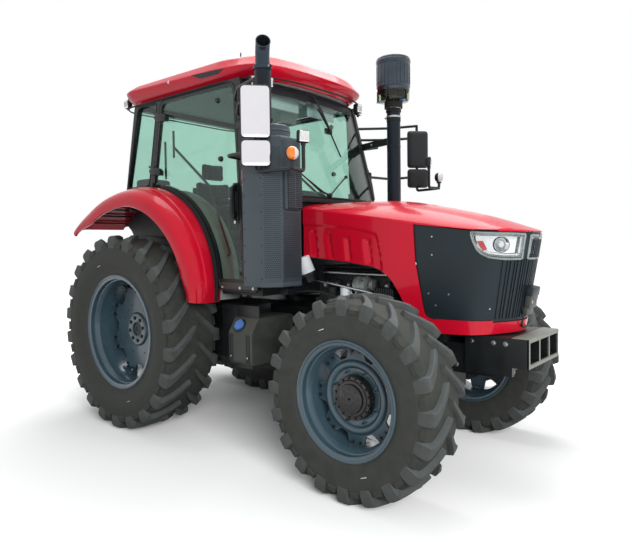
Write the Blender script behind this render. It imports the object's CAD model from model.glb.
from math import atan2, copysign, cos, hypot, pi, radians, sin, tau

import bmesh
import bpy
from bpy.props import FloatProperty, FloatVectorProperty, IntProperty, PointerProperty
from bpy.types import Operator, Panel, PropertyGroup
from mathutils import Matrix, Vector


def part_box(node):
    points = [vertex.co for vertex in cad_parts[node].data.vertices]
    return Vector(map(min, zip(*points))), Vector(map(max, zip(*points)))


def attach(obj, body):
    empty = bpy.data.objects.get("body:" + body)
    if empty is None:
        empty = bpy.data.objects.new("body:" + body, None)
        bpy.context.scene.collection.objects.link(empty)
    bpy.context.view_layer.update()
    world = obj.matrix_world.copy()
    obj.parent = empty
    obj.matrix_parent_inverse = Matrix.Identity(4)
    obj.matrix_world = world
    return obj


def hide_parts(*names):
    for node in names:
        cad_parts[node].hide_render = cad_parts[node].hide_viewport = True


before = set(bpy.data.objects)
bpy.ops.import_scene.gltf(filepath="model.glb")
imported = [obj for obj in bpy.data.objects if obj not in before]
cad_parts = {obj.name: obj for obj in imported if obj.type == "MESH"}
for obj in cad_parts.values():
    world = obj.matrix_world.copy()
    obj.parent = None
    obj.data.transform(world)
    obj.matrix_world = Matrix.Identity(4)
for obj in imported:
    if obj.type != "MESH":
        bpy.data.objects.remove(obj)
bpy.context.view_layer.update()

bl_info = {
    "name": "Farm Tractor Looks",
    "version": (1, 0, 0),
    "blender": (4, 5, 0),
    "location": "View3D > Sidebar > Tractor",
    "description": "Builds the tyres, panels, lamps, glass and trim of a farm tractor round its packed frame",
    "category": "Add Mesh",
}

MM = 0.001
AXLE_HEIGHT = 850
SIDES = ((-1, "right"), (1, "left"))


def datum():
    """The point under the rear axle, on the ground, that all places here are counted from."""
    low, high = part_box("rear_tyre_right")
    return Vector(((low.x + high.x) / 2, 0, (low.z + high.z) / 2 - AXLE_HEIGHT * MM))


DATUM = datum()


def spread(node):
    """A CAD node's box as (x0, x1, y0, y1, z0, z1), in millimetres from the datum."""
    low, high = ((corner - DATUM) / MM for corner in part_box(node))
    return low.x, high.x, low.y, high.y, low.z, high.z


# ---- shapes
def facing(place, ahead, up=(0, 0, 1)):
    """A placement whose local z points ahead and whose local x is as near to up as it can be."""
    z = Vector(ahead).normalized()
    x = Vector(up) - z * Vector(up).dot(z)
    if x.length < 1e-4:
        x = Vector((1, 0, 0)) - z * z.x
    x.normalize()
    turn = Matrix((x, z.cross(x), z)).transposed().to_4x4()
    return Matrix.Translation(Vector(place)) @ turn


def upright(x, y, z):
    """A placement at a point, with its axes along the tractor's."""
    return Matrix.Translation((x, y, z))


def moved(place, x, y=0.0, z=0.0):
    """A placement shifted along its own axes."""
    return place @ Matrix.Translation((x, y, z))


def turned(place, degrees, axis="Z"):
    """A placement turned about one of its own axes."""
    return place @ Matrix.Rotation(radians(degrees), 4, axis)


def outward(x, y, z):
    """A placement on one of the tractor's sides that points away from its middle."""
    return facing((x, y, z), (0, copysign(1, y), 0))


def around(place, count, radius, first=0.0):
    """Placements on a circle about a placement's z, each with its x pointing outwards."""
    for n in range(count):
        yield moved(turned(place, first + 360 * n / count), radius)


def flow(points, steps=4):
    """Points on a smooth line through the given ones."""
    rows = [Vector(p) for p in points]
    ends = [2 * rows[0] - rows[1], *rows, 2 * rows[-1] - rows[-2]]
    out = []
    for a, b, c, d in zip(ends, ends[1:], ends[2:], ends[3:]):
        for k in range(steps):
            t = k / steps
            out.append(0.5 * (2 * b + (c - a) * t + (2 * a - 5 * b + 4 * c - d) * t * t
                + (3 * b - a - 3 * c + d) * t ** 3))
    return out + [rows[-1]]


def softened(points, cut, steps=5):
    """A line with each corner turned into a curve that starts that far from it."""
    rows = [Vector(p) for p in points]
    out = [rows[0]]
    for a, b, c in zip(rows, rows[1:], rows[2:]):
        near = b + (a - b).normalized() * min(cut, (a - b).length * 0.5)
        far = b + (c - b).normalized() * min(cut, (c - b).length * 0.5)
        for k in range(steps + 1):
            t = k / steps
            out.append(near * (1 - t) ** 2 + b * 2 * t * (1 - t) + far * t * t)
    return out + [rows[-1]]


def along(rows, x):
    """Height at a place ahead on a line of (ahead, height) points, smoothly between them."""
    for k in range(len(rows) - 1):
        (x0, z0), (x1, z1) = rows[k], rows[k + 1]
        if x <= x1 or k == len(rows) - 2:
            before = rows[k - 1] if k else (2 * x0 - x1, 2 * z0 - z1)
            after = rows[k + 2] if k + 2 < len(rows) else (2 * x1 - x0, 2 * z1 - z0)
            m0 = (z1 - before[1]) / (x1 - before[0]) * (x1 - x0)
            m1 = (after[1] - z0) / (after[0] - x0) * (x1 - x0)
            t = (x - x0) / (x1 - x0)
            return ((2 * t ** 3 - 3 * t * t + 1) * z0 + (t ** 3 - 2 * t * t + t) * m0
                + (3 * t * t - 2 * t ** 3) * z1 + (t ** 3 - t * t) * m1)


def ease(low, high, value):
    """0 below low, 1 above high, and a smooth rise between them."""
    t = min(1.0, max(0.0, (value - low) / (high - low)))
    return t * t * (3 - 2 * t)


def inside_outline(x, z, outline):
    """Whether a point lies in a closed outline."""
    found = False
    for (x0, z0), (x1, z1) in zip(outline, outline[1:] + outline[:1]):
        if (z0 > z) != (z1 > z) and x < x0 + (z - z0) * (x1 - x0) / (z1 - z0):
            found = not found
    return found


class Maker:
    """One piece being made, in millimetres from the datum under the rear axle."""

    def __init__(self, *finishes):
        self.mesh = bmesh.new()
        self.finishes = finishes

    def face(self, corners, finish):
        """A face over corners that are already there, unless two of them are one."""
        if len(set(corners)) > 2:
            made = self.mesh.faces.new(corners)
            made.material_index = finish
            made.smooth = True

    def flat(self, points, finish=0, place=Matrix()):
        """One face over new corners."""
        self.face([self.mesh.verts.new(place @ Vector(p)) for p in points], finish)

    def skin(self, rows, finish=0, ring=False, caps=False, place=Matrix()):
        """A surface over rows of points. With ring, each row closes on itself, and caps closes both ends."""
        made = [[self.mesh.verts.new(place @ Vector(p)) for p in row] for row in rows]
        count = len(made[0])
        for a, b in zip(made, made[1:]):
            for i in range(count if ring else count - 1):
                j = (i + 1) % count
                self.face((a[i], a[j], b[j], b[i]), finish)
        if caps:
            self.face(made[0][::-1], finish)
            self.face(made[-1], finish)

    def spin(self, profile, place=Matrix(), steps=32, finish=0, closed=False, wave=None):
        """A turned shape about a placement's z. The profile holds (radius, height); wave alters a radius."""
        rows = []
        for n in range(steps):
            a = tau * n / steps
            ring = [(wave(r, a) if wave else r, h) for r, h in profile]
            rows.append([(r * cos(a), r * sin(a), h) for r, h in ring])
        self.skin([*rows, rows[0]] if not closed else [[*row, row[0]] for row in [*rows, rows[0]]], finish,
            place=place)

    def tube(self, path, radius, finish=0, sides=12, caps=True):
        """A round bar or pipe along a path. The radius may be one for each point."""
        path = [Vector(p) for p in path]
        radii = radius if isinstance(radius, (list, tuple)) else [radius] * len(path)
        side = None
        rows = []
        for k, point in enumerate(path):
            ahead = (path[min(k + 1, len(path) - 1)] - path[max(k - 1, 0)]).normalized()
            hint = side if side is not None else Vector((0.3, 0.5, 0.81))
            side = (hint - ahead * hint.dot(ahead)).normalized()
            other = ahead.cross(side)
            rows.append([point + radii[k] * (side * cos(tau * n / sides) + other * sin(tau * n / sides))
                for n in range(sides)])
        self.skin(rows, finish, ring=True, caps=caps)

    def pipe(self, corners, cut, radius, finish=0, sides=12):
        """A round bar through corners that are bent softly, each bend starting that far from its corner."""
        self.tube(softened(corners, cut), radius, finish, sides)

    def absorb(self, other, finish, place=Matrix()):
        """Takes over another mesh's faces."""
        points = {v: self.mesh.verts.new(place @ v.co) for v in other.verts}
        for f in other.faces:
            self.face([points[v] for v in f.verts], finish)
        other.free()

    def block(self, x0, x1, y0, y1, z0, z1, soft=4.0, finish=0, place=Matrix(), steps=2):
        """A block between two corners with softened edges."""
        other = bmesh.new()
        bmesh.ops.create_cube(other, size=1)
        for v in other.verts:
            v.co = ((x0 + x1) / 2 + v.co.x * abs(x1 - x0), (y0 + y1) / 2 + v.co.y * abs(y1 - y0),
                (z0 + z1) / 2 + v.co.z * abs(z1 - z0))
        bmesh.ops.bevel(other, geom=other.edges[:], offset=soft, segments=steps, profile=0.5,
            affect="EDGES", clamp_overlap=True)
        self.absorb(other, finish, place)

    def plate(self, outline, low, high, soft=3.0, finish=0, place=Matrix(), corner=0.0):
        """A plate from an outline in a placement's x and y, between two heights on its z."""
        if corner:
            loop = [*outline, outline[0], outline[1]]
            outline = softened([Vector((*p, 0)) for p in loop], corner, 4)[1:-1]
            outline = [(p.x, p.y) for p in outline]
        other = bmesh.new()
        bottom = [other.verts.new((*p[:2], low)) for p in outline]
        top = [other.verts.new((*p[:2], high)) for p in outline]
        rims = [other.faces.new(bottom[::-1]), other.faces.new(top)]
        for i in range(len(bottom)):
            j = (i + 1) % len(bottom)
            other.faces.new((bottom[i], bottom[j], top[j], top[i]))
        if soft:
            edges = list({e for f in rims for e in f.edges})
            bmesh.ops.bevel(other, geom=edges, offset=soft, segments=2, profile=0.5, affect="EDGES",
                clamp_overlap=True)
        self.absorb(other, finish, place)

    def bolt(self, place, across=9.0, height=9.0, finish=0, washer=1.55):
        """A hexagon head on its washer, standing on a placement's z."""
        self.spin([(0, 2), (across * washer, 2), (across * washer, -1)], place, 14, finish)
        self.spin([(0, height), (across * 0.82, height), (across, height * 0.82), (across, 0)], place, 6,
            finish)

    def mirror(self):
        """Adds the other side of the tractor."""
        twins = {v: self.mesh.verts.new((v.co.x, -v.co.y, v.co.z)) for v in self.mesh.verts[:]}
        for f in self.mesh.faces[:]:
            self.face([twins[v] for v in reversed(f.verts)], f.material_index)

    def done(self, name, slot, replaces=(), body="chassis", sharp=34.0, weld=0.02, tidy_normals=True):
        """Makes the Blender object, marks its sharp edges and ties it to its CAD body."""
        mesh = self.mesh
        bmesh.ops.remove_doubles(mesh, verts=mesh.verts[:], dist=weld)
        loose = [v for v in mesh.verts if not v.link_faces]
        bmesh.ops.delete(mesh, geom=loose, context="VERTS")
        if tidy_normals:
            bmesh.ops.recalc_face_normals(mesh, faces=mesh.faces[:])
        for e in mesh.edges:
            e.smooth = len(e.link_faces) == 2 and e.calc_face_angle(0.0) < radians(sharp)
        for v in mesh.verts:
            v.co = v.co * MM + DATUM
        data = bpy.data.meshes.new(name)
        mesh.to_mesh(data)
        mesh.free()
        made = bpy.data.objects.new(name, data)
        bpy.context.scene.collection.objects.link(made)
        for finish in self.finishes:
            data.materials.append(finish_named(finish))
        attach(made, body)
        if replaces:
            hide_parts(*replaces)
        return made


def thickened(piece, thickness):
    """Gives a sheet its thickness, inwards from the side that shows."""
    solid = piece.modifiers.new("Thickness", "SOLIDIFY")
    solid.thickness = thickness * MM
    solid.offset = -1.0
    solid.use_even_offset = True
    return piece


# ---- finishes
def linear(code):
    """A colour in linear light with full alpha, from sRGB hex or from a user's (setting, share)."""
    if isinstance(code, tuple):
        return chosen(*code)
    parts = [int(code[k:k + 2], 16) / 255 for k in (0, 2, 4)]
    return (*[p / 12.92 if p <= 0.04045 else ((p + 0.055) / 1.055) ** 2.4 for p in parts], 1.0)


def chosen(setting, share):
    """A colour from the user's settings, a little darker or lighter."""
    return (*[part * share for part in getattr(bpy.context.scene.tractor_colours, setting)], 1.0)


def add(tree, kind, settings=None, links=None):
    """Adds a shader node: settings hold its properties and socket values, links the sockets that feed it."""
    node = tree.nodes.new("ShaderNode" + kind)
    for key, value in (settings or {}).items():
        if isinstance(key, int) or key in node.inputs:
            node.inputs[key].default_value = value
        else:
            setattr(node, key, value)
    for key, source in (links or {}).items():
        tree.links.new(source, node.inputs[key])
    return node


def started(name, values):
    """A new material: itself, its tree, its shader with constant values set, and its object coordinates."""
    made = bpy.data.materials.new(name)
    made.use_nodes = True
    tree = made.node_tree
    shader = tree.nodes["Principled BSDF"]
    for key, value in values.items():
        shader.inputs[key].default_value = value
    return made, tree, shader, add(tree, "TexCoord").outputs["Object"]


def mottled(name, low, high, patch_mm, rough, grain_mm, depth_mm, values=None, dust=None):
    """A finish whose colour drifts between two tones over patches, with a fine grain that breaks the gloss.
    Dust, as (colour, share), lies on what faces up."""
    made, tree, shader, place = started(name, values or {})
    patches = add(tree, "TexNoise", {"Scale": 1000 / patch_mm, "Detail": 4.0, "Roughness": 0.55},
        {"Vector": place})
    grain = add(tree, "TexNoise", {"Scale": 1000 / grain_mm, "Detail": 2.0}, {"Vector": place})
    share = add(tree, "MapRange", {1: 0.3, 2: 0.7}, {0: patches.outputs[0]})
    colour = add(tree, "Mix", {"data_type": "RGBA", 6: linear(low), 7: linear(high)}, {0: share.outputs[0]})
    if dust:
        facing_up = add(tree, "SeparateXYZ", links={0: add(tree, "NewGeometry").outputs["Normal"]})
        lying = add(tree, "MapRange", {1: 0.35, 2: 1.0, 4: dust[1]}, {0: facing_up.outputs["Z"]})
        colour = add(tree, "Mix", {"data_type": "RGBA", 7: linear(dust[0])},
            {0: lying.outputs[0], 6: colour.outputs[2]})
    gloss = add(tree, "MapRange", {1: 0.3, 2: 0.7, 3: rough[0], 4: rough[1]}, {0: patches.outputs[0]})
    relief = add(tree, "Bump", {"Distance": depth_mm * MM, "Strength": 0.6}, {"Height": grain.outputs[0]})
    tree.links.new(colour.outputs[2], shader.inputs["Base Color"])
    tree.links.new(gloss.outputs[0], shader.inputs["Roughness"])
    tree.links.new(relief.outputs[0], shader.inputs["Normal"])
    return made


def pane(name, tint, drift, rough=0.02):
    """Clear sheet that lets light through in its own tint, and mirrors more the flatter it is seen."""
    made, tree, shader, place = started(name, {})
    tree.nodes.remove(shader)
    waves = add(tree, "TexNoise", {"Scale": 3.0, "Detail": 1.0}, {"Vector": place})
    colour = add(tree, "Mix", {"data_type": "RGBA", 6: linear(tint), 7: linear(drift)}, {0: waves.outputs[0]})
    through = add(tree, "BsdfTransparent", links={"Color": colour.outputs[2]})
    shine = add(tree, "BsdfGlossy", {"Roughness": rough, "Color": (1, 1, 1, 1)})
    edge_on = add(tree, "Math", {"operation": "POWER", 1: 5.0},
        {0: add(tree, "LayerWeight", {"Blend": 0.5}).outputs["Facing"]})
    share = add(tree, "MapRange", {1: 0.0, 2: 1.0, 3: 0.03, 4: 0.85}, {0: edge_on.outputs[0]})
    both = add(tree, "MixShader", links={0: share.outputs[0], 1: through.outputs[0], 2: shine.outputs[0]})
    tree.links.new(both.outputs[0], tree.nodes["Material Output"].inputs[0])
    return made


def woven(name, low, high, thread_mm):
    """Upholstery cloth: threads over and under each other, drawn four times as coarse as they are to show."""
    made, tree, shader, place = started(name, {"Roughness": 0.9, "Sheen Weight": 0.25,
        "Sheen Roughness": 0.5})
    scale = 1000 / (thread_mm * 4 * 2)
    waves = [add(tree, "TexWave", {"Scale": scale / 3.2, "bands_direction": way, "Distortion": 0.6,
        "Detail": 1.0}, {"Vector": place}) for way in ("X", "Y", "Z")]
    pair = add(tree, "Math", {"operation": "MULTIPLY"}, {0: waves[0].outputs[1], 1: waves[1].outputs[1]})
    both = add(tree, "Math", {"operation": "ADD"}, {0: pair.outputs[0], 1: waves[2].outputs[1]})
    colour = add(tree, "Mix", {"data_type": "RGBA", 6: linear(low), 7: linear(high)}, {0: both.outputs[0]})
    relief = add(tree, "Bump", {"Distance": 0.6 * MM, "Strength": 0.7}, {"Height": both.outputs[0]})
    tree.links.new(colour.outputs[2], shader.inputs["Base Color"])
    tree.links.new(relief.outputs[0], shader.inputs["Normal"])
    return made


RECIPES = {
    # two-pack enamel on steel: a deep red under a hard clear gloss that mirrors the sky, barely rippled
    "red_enamel": (mottled, ("body", 0.94), ("body", 1.06), 420, (0.26, 0.34), 30, 0.05,
        {"IOR": 1.5, "Specular IOR Level": 0.14, "Coat Weight": 0.32, "Coat Roughness": 0.06}),
    # moulded ABS, spark-eroded grain: dark blue-grey with a broad soft sheen
    "anthracite_abs": (mottled, ("panel", 0.85), ("panel", 1.15), 300, (0.42, 0.5), 1.2, 0.05,
        {"IOR": 1.53, "Specular IOR Level": 0.3}),
    # powder-coated sheet steel: satin black with a fine orange peel
    "black_powder_coat": (mottled, "0C0F11", "15191B", 160, (0.42, 0.54), 3, 0.06, {"IOR": 1.5},
        ("33342F", 0.35)),
    # the same coat dulled by handling: the carrier and step edges look olive grey in the light
    "grey_powder_coat": (mottled, "353834", "444742", 120, (0.42, 0.55), 3, 0.08, {"IOR": 1.5},
        ("63655D", 0.5)),
    # bare grey primer on the carrier's face, chalky and pale
    "grey_primer": (mottled, "82867C", "92968C", 120, (0.5, 0.62), 3, 0.08, {"IOR": 1.5}),
    # sprayed grey cast iron: sandy skin under a thin black paint
    "painted_casting": (mottled, "0B0E0F", "161A1B", 60, (0.5, 0.7), 2.5, 0.5, {"IOR": 1.5}),
    # wheel enamel: mid blue-grey with a soft gloss
    "wheel_enamel": (mottled, ("wheels", 0.9), ("wheels", 1.1), 200, (0.26, 0.36), 6, 0.06,
        {"IOR": 1.5, "Coat Weight": 0.4, "Coat Roughness": 0.12}),
    # glossy black enamel on the planetary hubs
    "hub_enamel": (mottled, "101210", "1A1C19", 60, (0.22, 0.34), 3, 0.1, {"IOR": 1.5}),
    # ultraviolet-proof polypropylene trim: near black, dull, faintly grained
    "black_plastic": (mottled, "0C0F12", "151A1D", 90, (0.48, 0.6), 1.5, 0.08, {"IOR": 1.49}),
    # EPDM seal and hose rubber: matte black with no clear reflection
    "black_rubber": (mottled, "0C0E0F", "17191A", 80, (0.7, 0.85), 2, 0.1, {"IOR": 1.5}),
    # satin silver lacquer on the lamp's surround
    "lamp_rim": (mottled, "87918F", "A0A9A8", 60, (0.25, 0.36), 3, 0.04, {"IOR": 1.5, "Metallic": 0.5}),
    # bare cast aluminium of small engine parts: pale, sandy, half dull
    "cast_light": (mottled, "7F8684", "99A09D", 30, (0.45, 0.6), 2, 0.25, {"Metallic": 0.7}),
    # heat-proof lacquer on the shroud and pipe: slate grey, satin, slightly cloudy
    "heat_lacquer": (mottled, "333D44", "3F4A51", 220, (0.42, 0.55), 2, 0.05, {"IOR": 1.5}),
    # the same lacquer tempered blue by the heat, on the exhaust's end pipe
    "blued_lacquer": (mottled, "24313D", "2F3E4C", 220, (0.36, 0.48), 2, 0.05,
        {"IOR": 1.5, "Specular IOR Level": 0.35}),
    # the same lacquer, blue black, on the air intake's pipe and the cap's band
    "stack_lacquer": (mottled, "061019", "0C1823", 220, (0.36, 0.48), 2, 0.05,
        {"IOR": 1.5, "Specular IOR Level": 0.3}),
    # smoked polycarbonate bowl: dark blue-grey with a clean gloss
    "smoked_polycarbonate": (mottled, "1B2833", "293A48", 140, (0.18, 0.3), 8, 0.04, {"IOR": 1.58}),
    # clear polycarbonate gone straw yellow from dust
    "dusty_polycarbonate": (pane, "C9CBA4", "DADCC0", 0.08),
    # zinc-plated steel: bright grey, sharp highlights on bolt heads
    "zinc_steel": (mottled, "A9ACAD", "C6C9CA", 25, (0.28, 0.42), 2, 0.05, {"Metallic": 1.0}),
    # bare machined steel, lightly oiled
    "machined_steel": (mottled, "8D9092", "A7AAAC", 18, (0.25, 0.4), 1.2, 0.05, {"Metallic": 1.0}),
    # vacuum-metallised reflector
    "chromed_plastic": (mottled, "D9DCDE", "F1F3F4", 80, (0.06, 0.12), 6, 0.03, {"Metallic": 1.0}),
    # silvered mirror glass behind a flat clear face
    "mirror_glass": (mottled, "E3E1E5", "EBE9ED", 400, (0.02, 0.05), 60, 0.01, {"Metallic": 1.0}),
    # toughened tinted glass, seen through as pale blue-green
    "green_tinted_glass": (pane, "E3F1EC", "DDEFE9"),
    # clear moulded lamp lens
    "clear_lens": (pane, "F4F7F8", "FFFFFF"),
    # amber and red acrylic reflectors, lit by the sky
    "amber_acrylic": (mottled, "E8730A", "F28A1C", 12, (0.12, 0.2), 3, 0.3,
        {"IOR": 1.49, "Coat Weight": 0.6}),
    "red_acrylic": (mottled, "B3121C", "CE2028", 12, (0.12, 0.2), 3, 0.3, {"IOR": 1.49, "Coat Weight": 0.6}),
    # prismatic white lens of a work lamp or side lamp
    "white_lens": (mottled, "C9CCCB", "EDEEEC", 9, (0.12, 0.24), 4, 0.5, {"IOR": 1.49}),
    # blow-moulded polyethylene: milky white, waxy
    "white_polyethylene": (mottled, "D3DBDD", "E4EAEB", 120, (0.35, 0.45), 4, 0.05, {"IOR": 1.51}),
    # blue moulded cap
    "blue_polyethylene": (mottled, "3C6FB4", "5D8CCB", 40, (0.3, 0.4), 3, 0.05, {"IOR": 1.51}),
    # pressed felt and grained mouldings inside the cab
    "light_trim": (mottled, "8F9A96", "9FAAA6", 200, (0.6, 0.75), 2, 0.1, {"IOR": 1.5}),
    "headliner_felt": (mottled, "CDD5DA", "DCE3E7", 30, (0.85, 0.95), 2.5, 0.4, {"IOR": 1.45}),
    "dash_moulding": (mottled, "14191C", "1D2326", 110, (0.5, 0.62), 1.5, 0.12, {"IOR": 1.5}),
    "seat_cloth": (woven, ("cloth", 0.5), ("cloth", 1.5), 0.9),
    # carbon-black rubber as it left the mould: a dull grey black
    "sidewall_rubber": (mottled, "383A37", "464743", 70, (0.7, 0.86), 5, 0.5,
        {"IOR": 1.5, "Specular IOR Level": 0.3}, ("52534F", 0.6)),
    # the same rubber on the tread, bloomed to a pale grey where it faces up
    "tread_rubber": (mottled, "434644", "535655", 60, (0.66, 0.82), 5, 0.5,
        {"IOR": 1.5, "Specular IOR Level": 0.4}, ("6A7071", 0.6)),
}


def finish_named(name):
    """The material of that name, made when it is first asked for."""
    kind, *recipe = RECIPES[name]
    return bpy.data.materials.get(name) or kind(name, *recipe)


# ---- wheels
# tread bars of a driving tyre: place across, as a share of half the width; drop below the top; lean of the
# top, in degrees; lead, as a share of the whole; half width at the top and at the foot, as shares of a
# pitch; share of the whole height
BAR_ROWS = (
    (0.03, 0, 0, 1.04, 0.055, 0.09, 1.0),
    (0.12, 0, 0, 0.92, 0.095, 0.13, 1.0),
    (0.34, 1, 2, 0.63, 0.105, 0.145, 1.0),
    (0.56, 2, 4, 0.36, 0.12, 0.165, 1.0),
    (0.74, 5, 8, 0.15, 0.14, 0.19, 1.0),
    (0.87, 9, 22, 0.03, 0.17, 0.225, 1.0),
    (0.95, 18, 48, 0.0, 0.2, 0.255, 1.0),
    (0.99, 44, 76, -0.01, 0.225, 0.27, 0.8),
    (0.995, 92, 92, -0.02, 0.23, 0.26, 0.3),
    (0.975, 120, 96, -0.02, 0.22, 0.24, 0.15),
)


LUGS = 8  # that tie a disc to its rim


def wheel(name, side):
    """A wheel node's radius and half width, and a placement at its middle that points outwards."""
    x0, x1, y0, y1, z0, z1 = spread(name)
    return (x1 - x0) / 2, (y1 - y0) / 2, facing(((x0 + x1) / 2, (y0 + y1) / 2, (z0 + z1) / 2), (0, side, 0))


def tyre_piece(name, side, count, bar_height, lead, seat_r, seat_half):
    """A hollow tyre on one wheel: its carcass and two rows of tread bars that meet in a chevron."""
    r, half, hub = wheel(name, side)
    tall = r - seat_r
    base = r - bar_height
    wall = [(seat_r - 10, seat_half - 22), (seat_r + 2, seat_half - 8), (seat_r + 14, seat_half + 2),
        (seat_r + 26, seat_half + 3), (seat_r + 0.2 * tall, seat_half + 16),
        (seat_r + 0.42 * tall, half - 7), (seat_r + 0.62 * tall, half - 5), (base - 0.12 * tall, half - 16),
        (base - 20, half - 40), (base - 4, half * 0.7), (base + 3, half * 0.36), (base + 5, 0)]
    wall = [(p.x, p.y) for p in flow([(a, b, 0) for a, b in wall], 3)]
    inner = [(seat_r + 60, 0), (seat_r + 30, seat_half - 60)]
    made = Maker("sidewall_rubber", "tread_rubber", "white_lens")
    ring = wall + [(a, -b) for a, b in reversed(wall[:-1])] + [(a, -b) for a, b in reversed(inner)] + inner
    made.spin(ring, hub, 96, closed=True)
    pitch = tau * r / count
    for flip in (1, -1):
        for n in range(count):
            start = tau * (n + (0.5 if flip < 0 else 0)) / count
            rows = []
            for across, drop, lean, ahead, top_w, foot_w, share in BAR_ROWS:
                lean = radians(lean)
                out = Vector((cos(lean), sin(lean)))
                top = Vector((r - drop, across * half))
                foot = top - out * (bar_height * share + 8)
                edge = top - out * 4
                a = start - side * lead * ahead / r
                row = []
                for point, width in ((foot, -foot_w), (edge, -top_w), (top, 4 / pitch - top_w),
                        (top, top_w - 4 / pitch), (edge, top_w), (foot, foot_w)):
                    turn = a + width * pitch / r
                    row.append((point.x * cos(turn), point.x * sin(turn), flip * point.y))
                rows.append(row)
            made.skin(rows, 1, ring=True, caps=True, place=hub)
            mid = start + pi / count
            ledge = [(base - 0.1 * tall, half - 18), (base - 0.1 * tall, half - 3),
                (base - 0.2 * tall, half - 1), (base - 0.22 * tall, half - 8)]
            rows = [[(q * cos(mid + w * pitch / r), q * sin(mid + w * pitch / r), flip * h) for q,
                h in ledge] for w in (-0.17, -0.15, 0.15, 0.17)]
            made.skin(rows, ring=True, caps=True, place=hub)
    # two pale marks on each sidewall
    for turn in (200, 20):
        for k in (-1, 1):
            spot = moved(turned(hub, turn), seat_r + 0.36 * tall, 0, k * (half - 9))
            made.block(-2.5, 2.5, -22, 22, -2.5, 3.2, 1, 2, spot)
    return made


def rim_profile(r, half):
    """Closed section of a rim: rolled flanges, bead seats and the dropped centre, as (radius, outward)."""
    seat = r - 28
    well = seat - 30
    outer = [(r - 2, half - 1), (r, half - 4), (r, half - 11), (r - 4, half - 14), (seat, half - 15),
        (seat, half - 60), (well, half - 86)]
    inner = [(r - 9, half + 1), (r - 15, half - 2), (r - 19, half - 8), (seat - 8, half - 11),
        (seat - 12, half - 15), (seat - 12, half - 46), (seat - 15, half - 52), (seat - 22, half - 55),
        (seat - 26, half - 62), (well - 9, half - 84), (well - 12, half - 92)]
    return inner[::-1] + outer + [(a, -b) for a, b in reversed(outer)] + [(a, -b) for a, b in inner]


def lobed(low, first):
    """Gives a disc's outer edge one lobe for each lug: radii above a limit swing between valley and lobe."""
    def wave(r, a):
        if r < low:
            return r
        t = 0.5 + 0.5 * cos(LUGS * (a - first))
        return low + (r - low) * ease(0.12, 0.62, t)
    return wave


def front_rim_piece(name, side):
    """Front rim with its pressed disc, lobed at the edge and bolted to eight lugs, and its valve."""
    r, half, hub = wheel(name, side)
    made = Maker("wheel_enamel", "black_powder_coat", "hub_enamel", "amber_acrylic")
    made.spin(rim_profile(r, half), hub, 96, closed=True)
    face, lobe_r = 45.0, r - 68
    disc = [(143, 26), (143, 43), (150, 46), (184, 47), (190, 52), (196, 62), (205, 69), (216, 71),
        (227, 68), (236, 58), (241, 48), (248, 45), (lobe_r - 6, face), (lobe_r, face - 4),
        (lobe_r, face - 14), (248, face - 16), (180, 30)]
    made.spin(disc, hub, 128, closed=True, wave=lobed(252, 0))
    for place in around(hub, LUGS, lobe_r - 6):
        made.block(-18, 20, -34, 34, face - 40, face - 14, 5, 0, place)
    for n in range(LUGS):
        for k in (-5.5, 5.5):
            turn = moved(turned(hub, 360 / LUGS * n + k), lobe_r - 22, 0, face)
            made.bolt(turn, 8, 10, 1)
    for place in around(hub, LUGS, 168, 22.5):
        made.bolt(moved(place, 0, 0, 47), 11, 15)
        made.spin([(0, 30), (6, 29), (6, 0)], moved(place, 0, 0, 47), 12, 2)
    valve = moved(turned(hub, -70 if side < 0 else 250), r - 62, 0, 95)
    made.tube([valve @ Vector(p) for p in ((12, 0, 0), (-2, 0, 6), (-12, 0, 30))], 7, 1)
    made.tube([valve @ Vector(p) for p in ((-12, 0, 30), (-14, 0, 44))], 5, 3)
    return made


def front_hub_piece(name, side):
    """Planetary hub: a drum with a bolted cover."""
    x0, x1, y0, y1, z0, z1 = spread(name)
    outer, inner = (y1, y0) if side > 0 else (y0, y1)
    hub = facing(((x0 + x1) / 2, outer, (z0 + z1) / 2), (0, side, 0))
    depth = abs(outer - inner)
    made = Maker("hub_enamel")
    drum = [(74, -depth), (148, -depth), (154, -depth + 6), (154, -96), (141, -94), (141, -34), (138, -28),
        (118, -27), (116, -22), (113, -19), (96, -18), (92, -6), (86, -3), (40, -3), (36, 0), (0, 0)]
    made.spin(drum, hub, 64)
    for place in around(hub, 16, 128, 11):
        made.bolt(moved(place, 0, 0, -28), 8.5, 11)
    for place in around(hub, 8, 62, 4):
        made.bolt(moved(place, 0, 0, -4), 6.5, 4)
    made.bolt(moved(hub, 0, 0, -4), 11, 4)
    made.bolt(moved(hub, -100, 0, -19), 8, 7)
    return made


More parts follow.
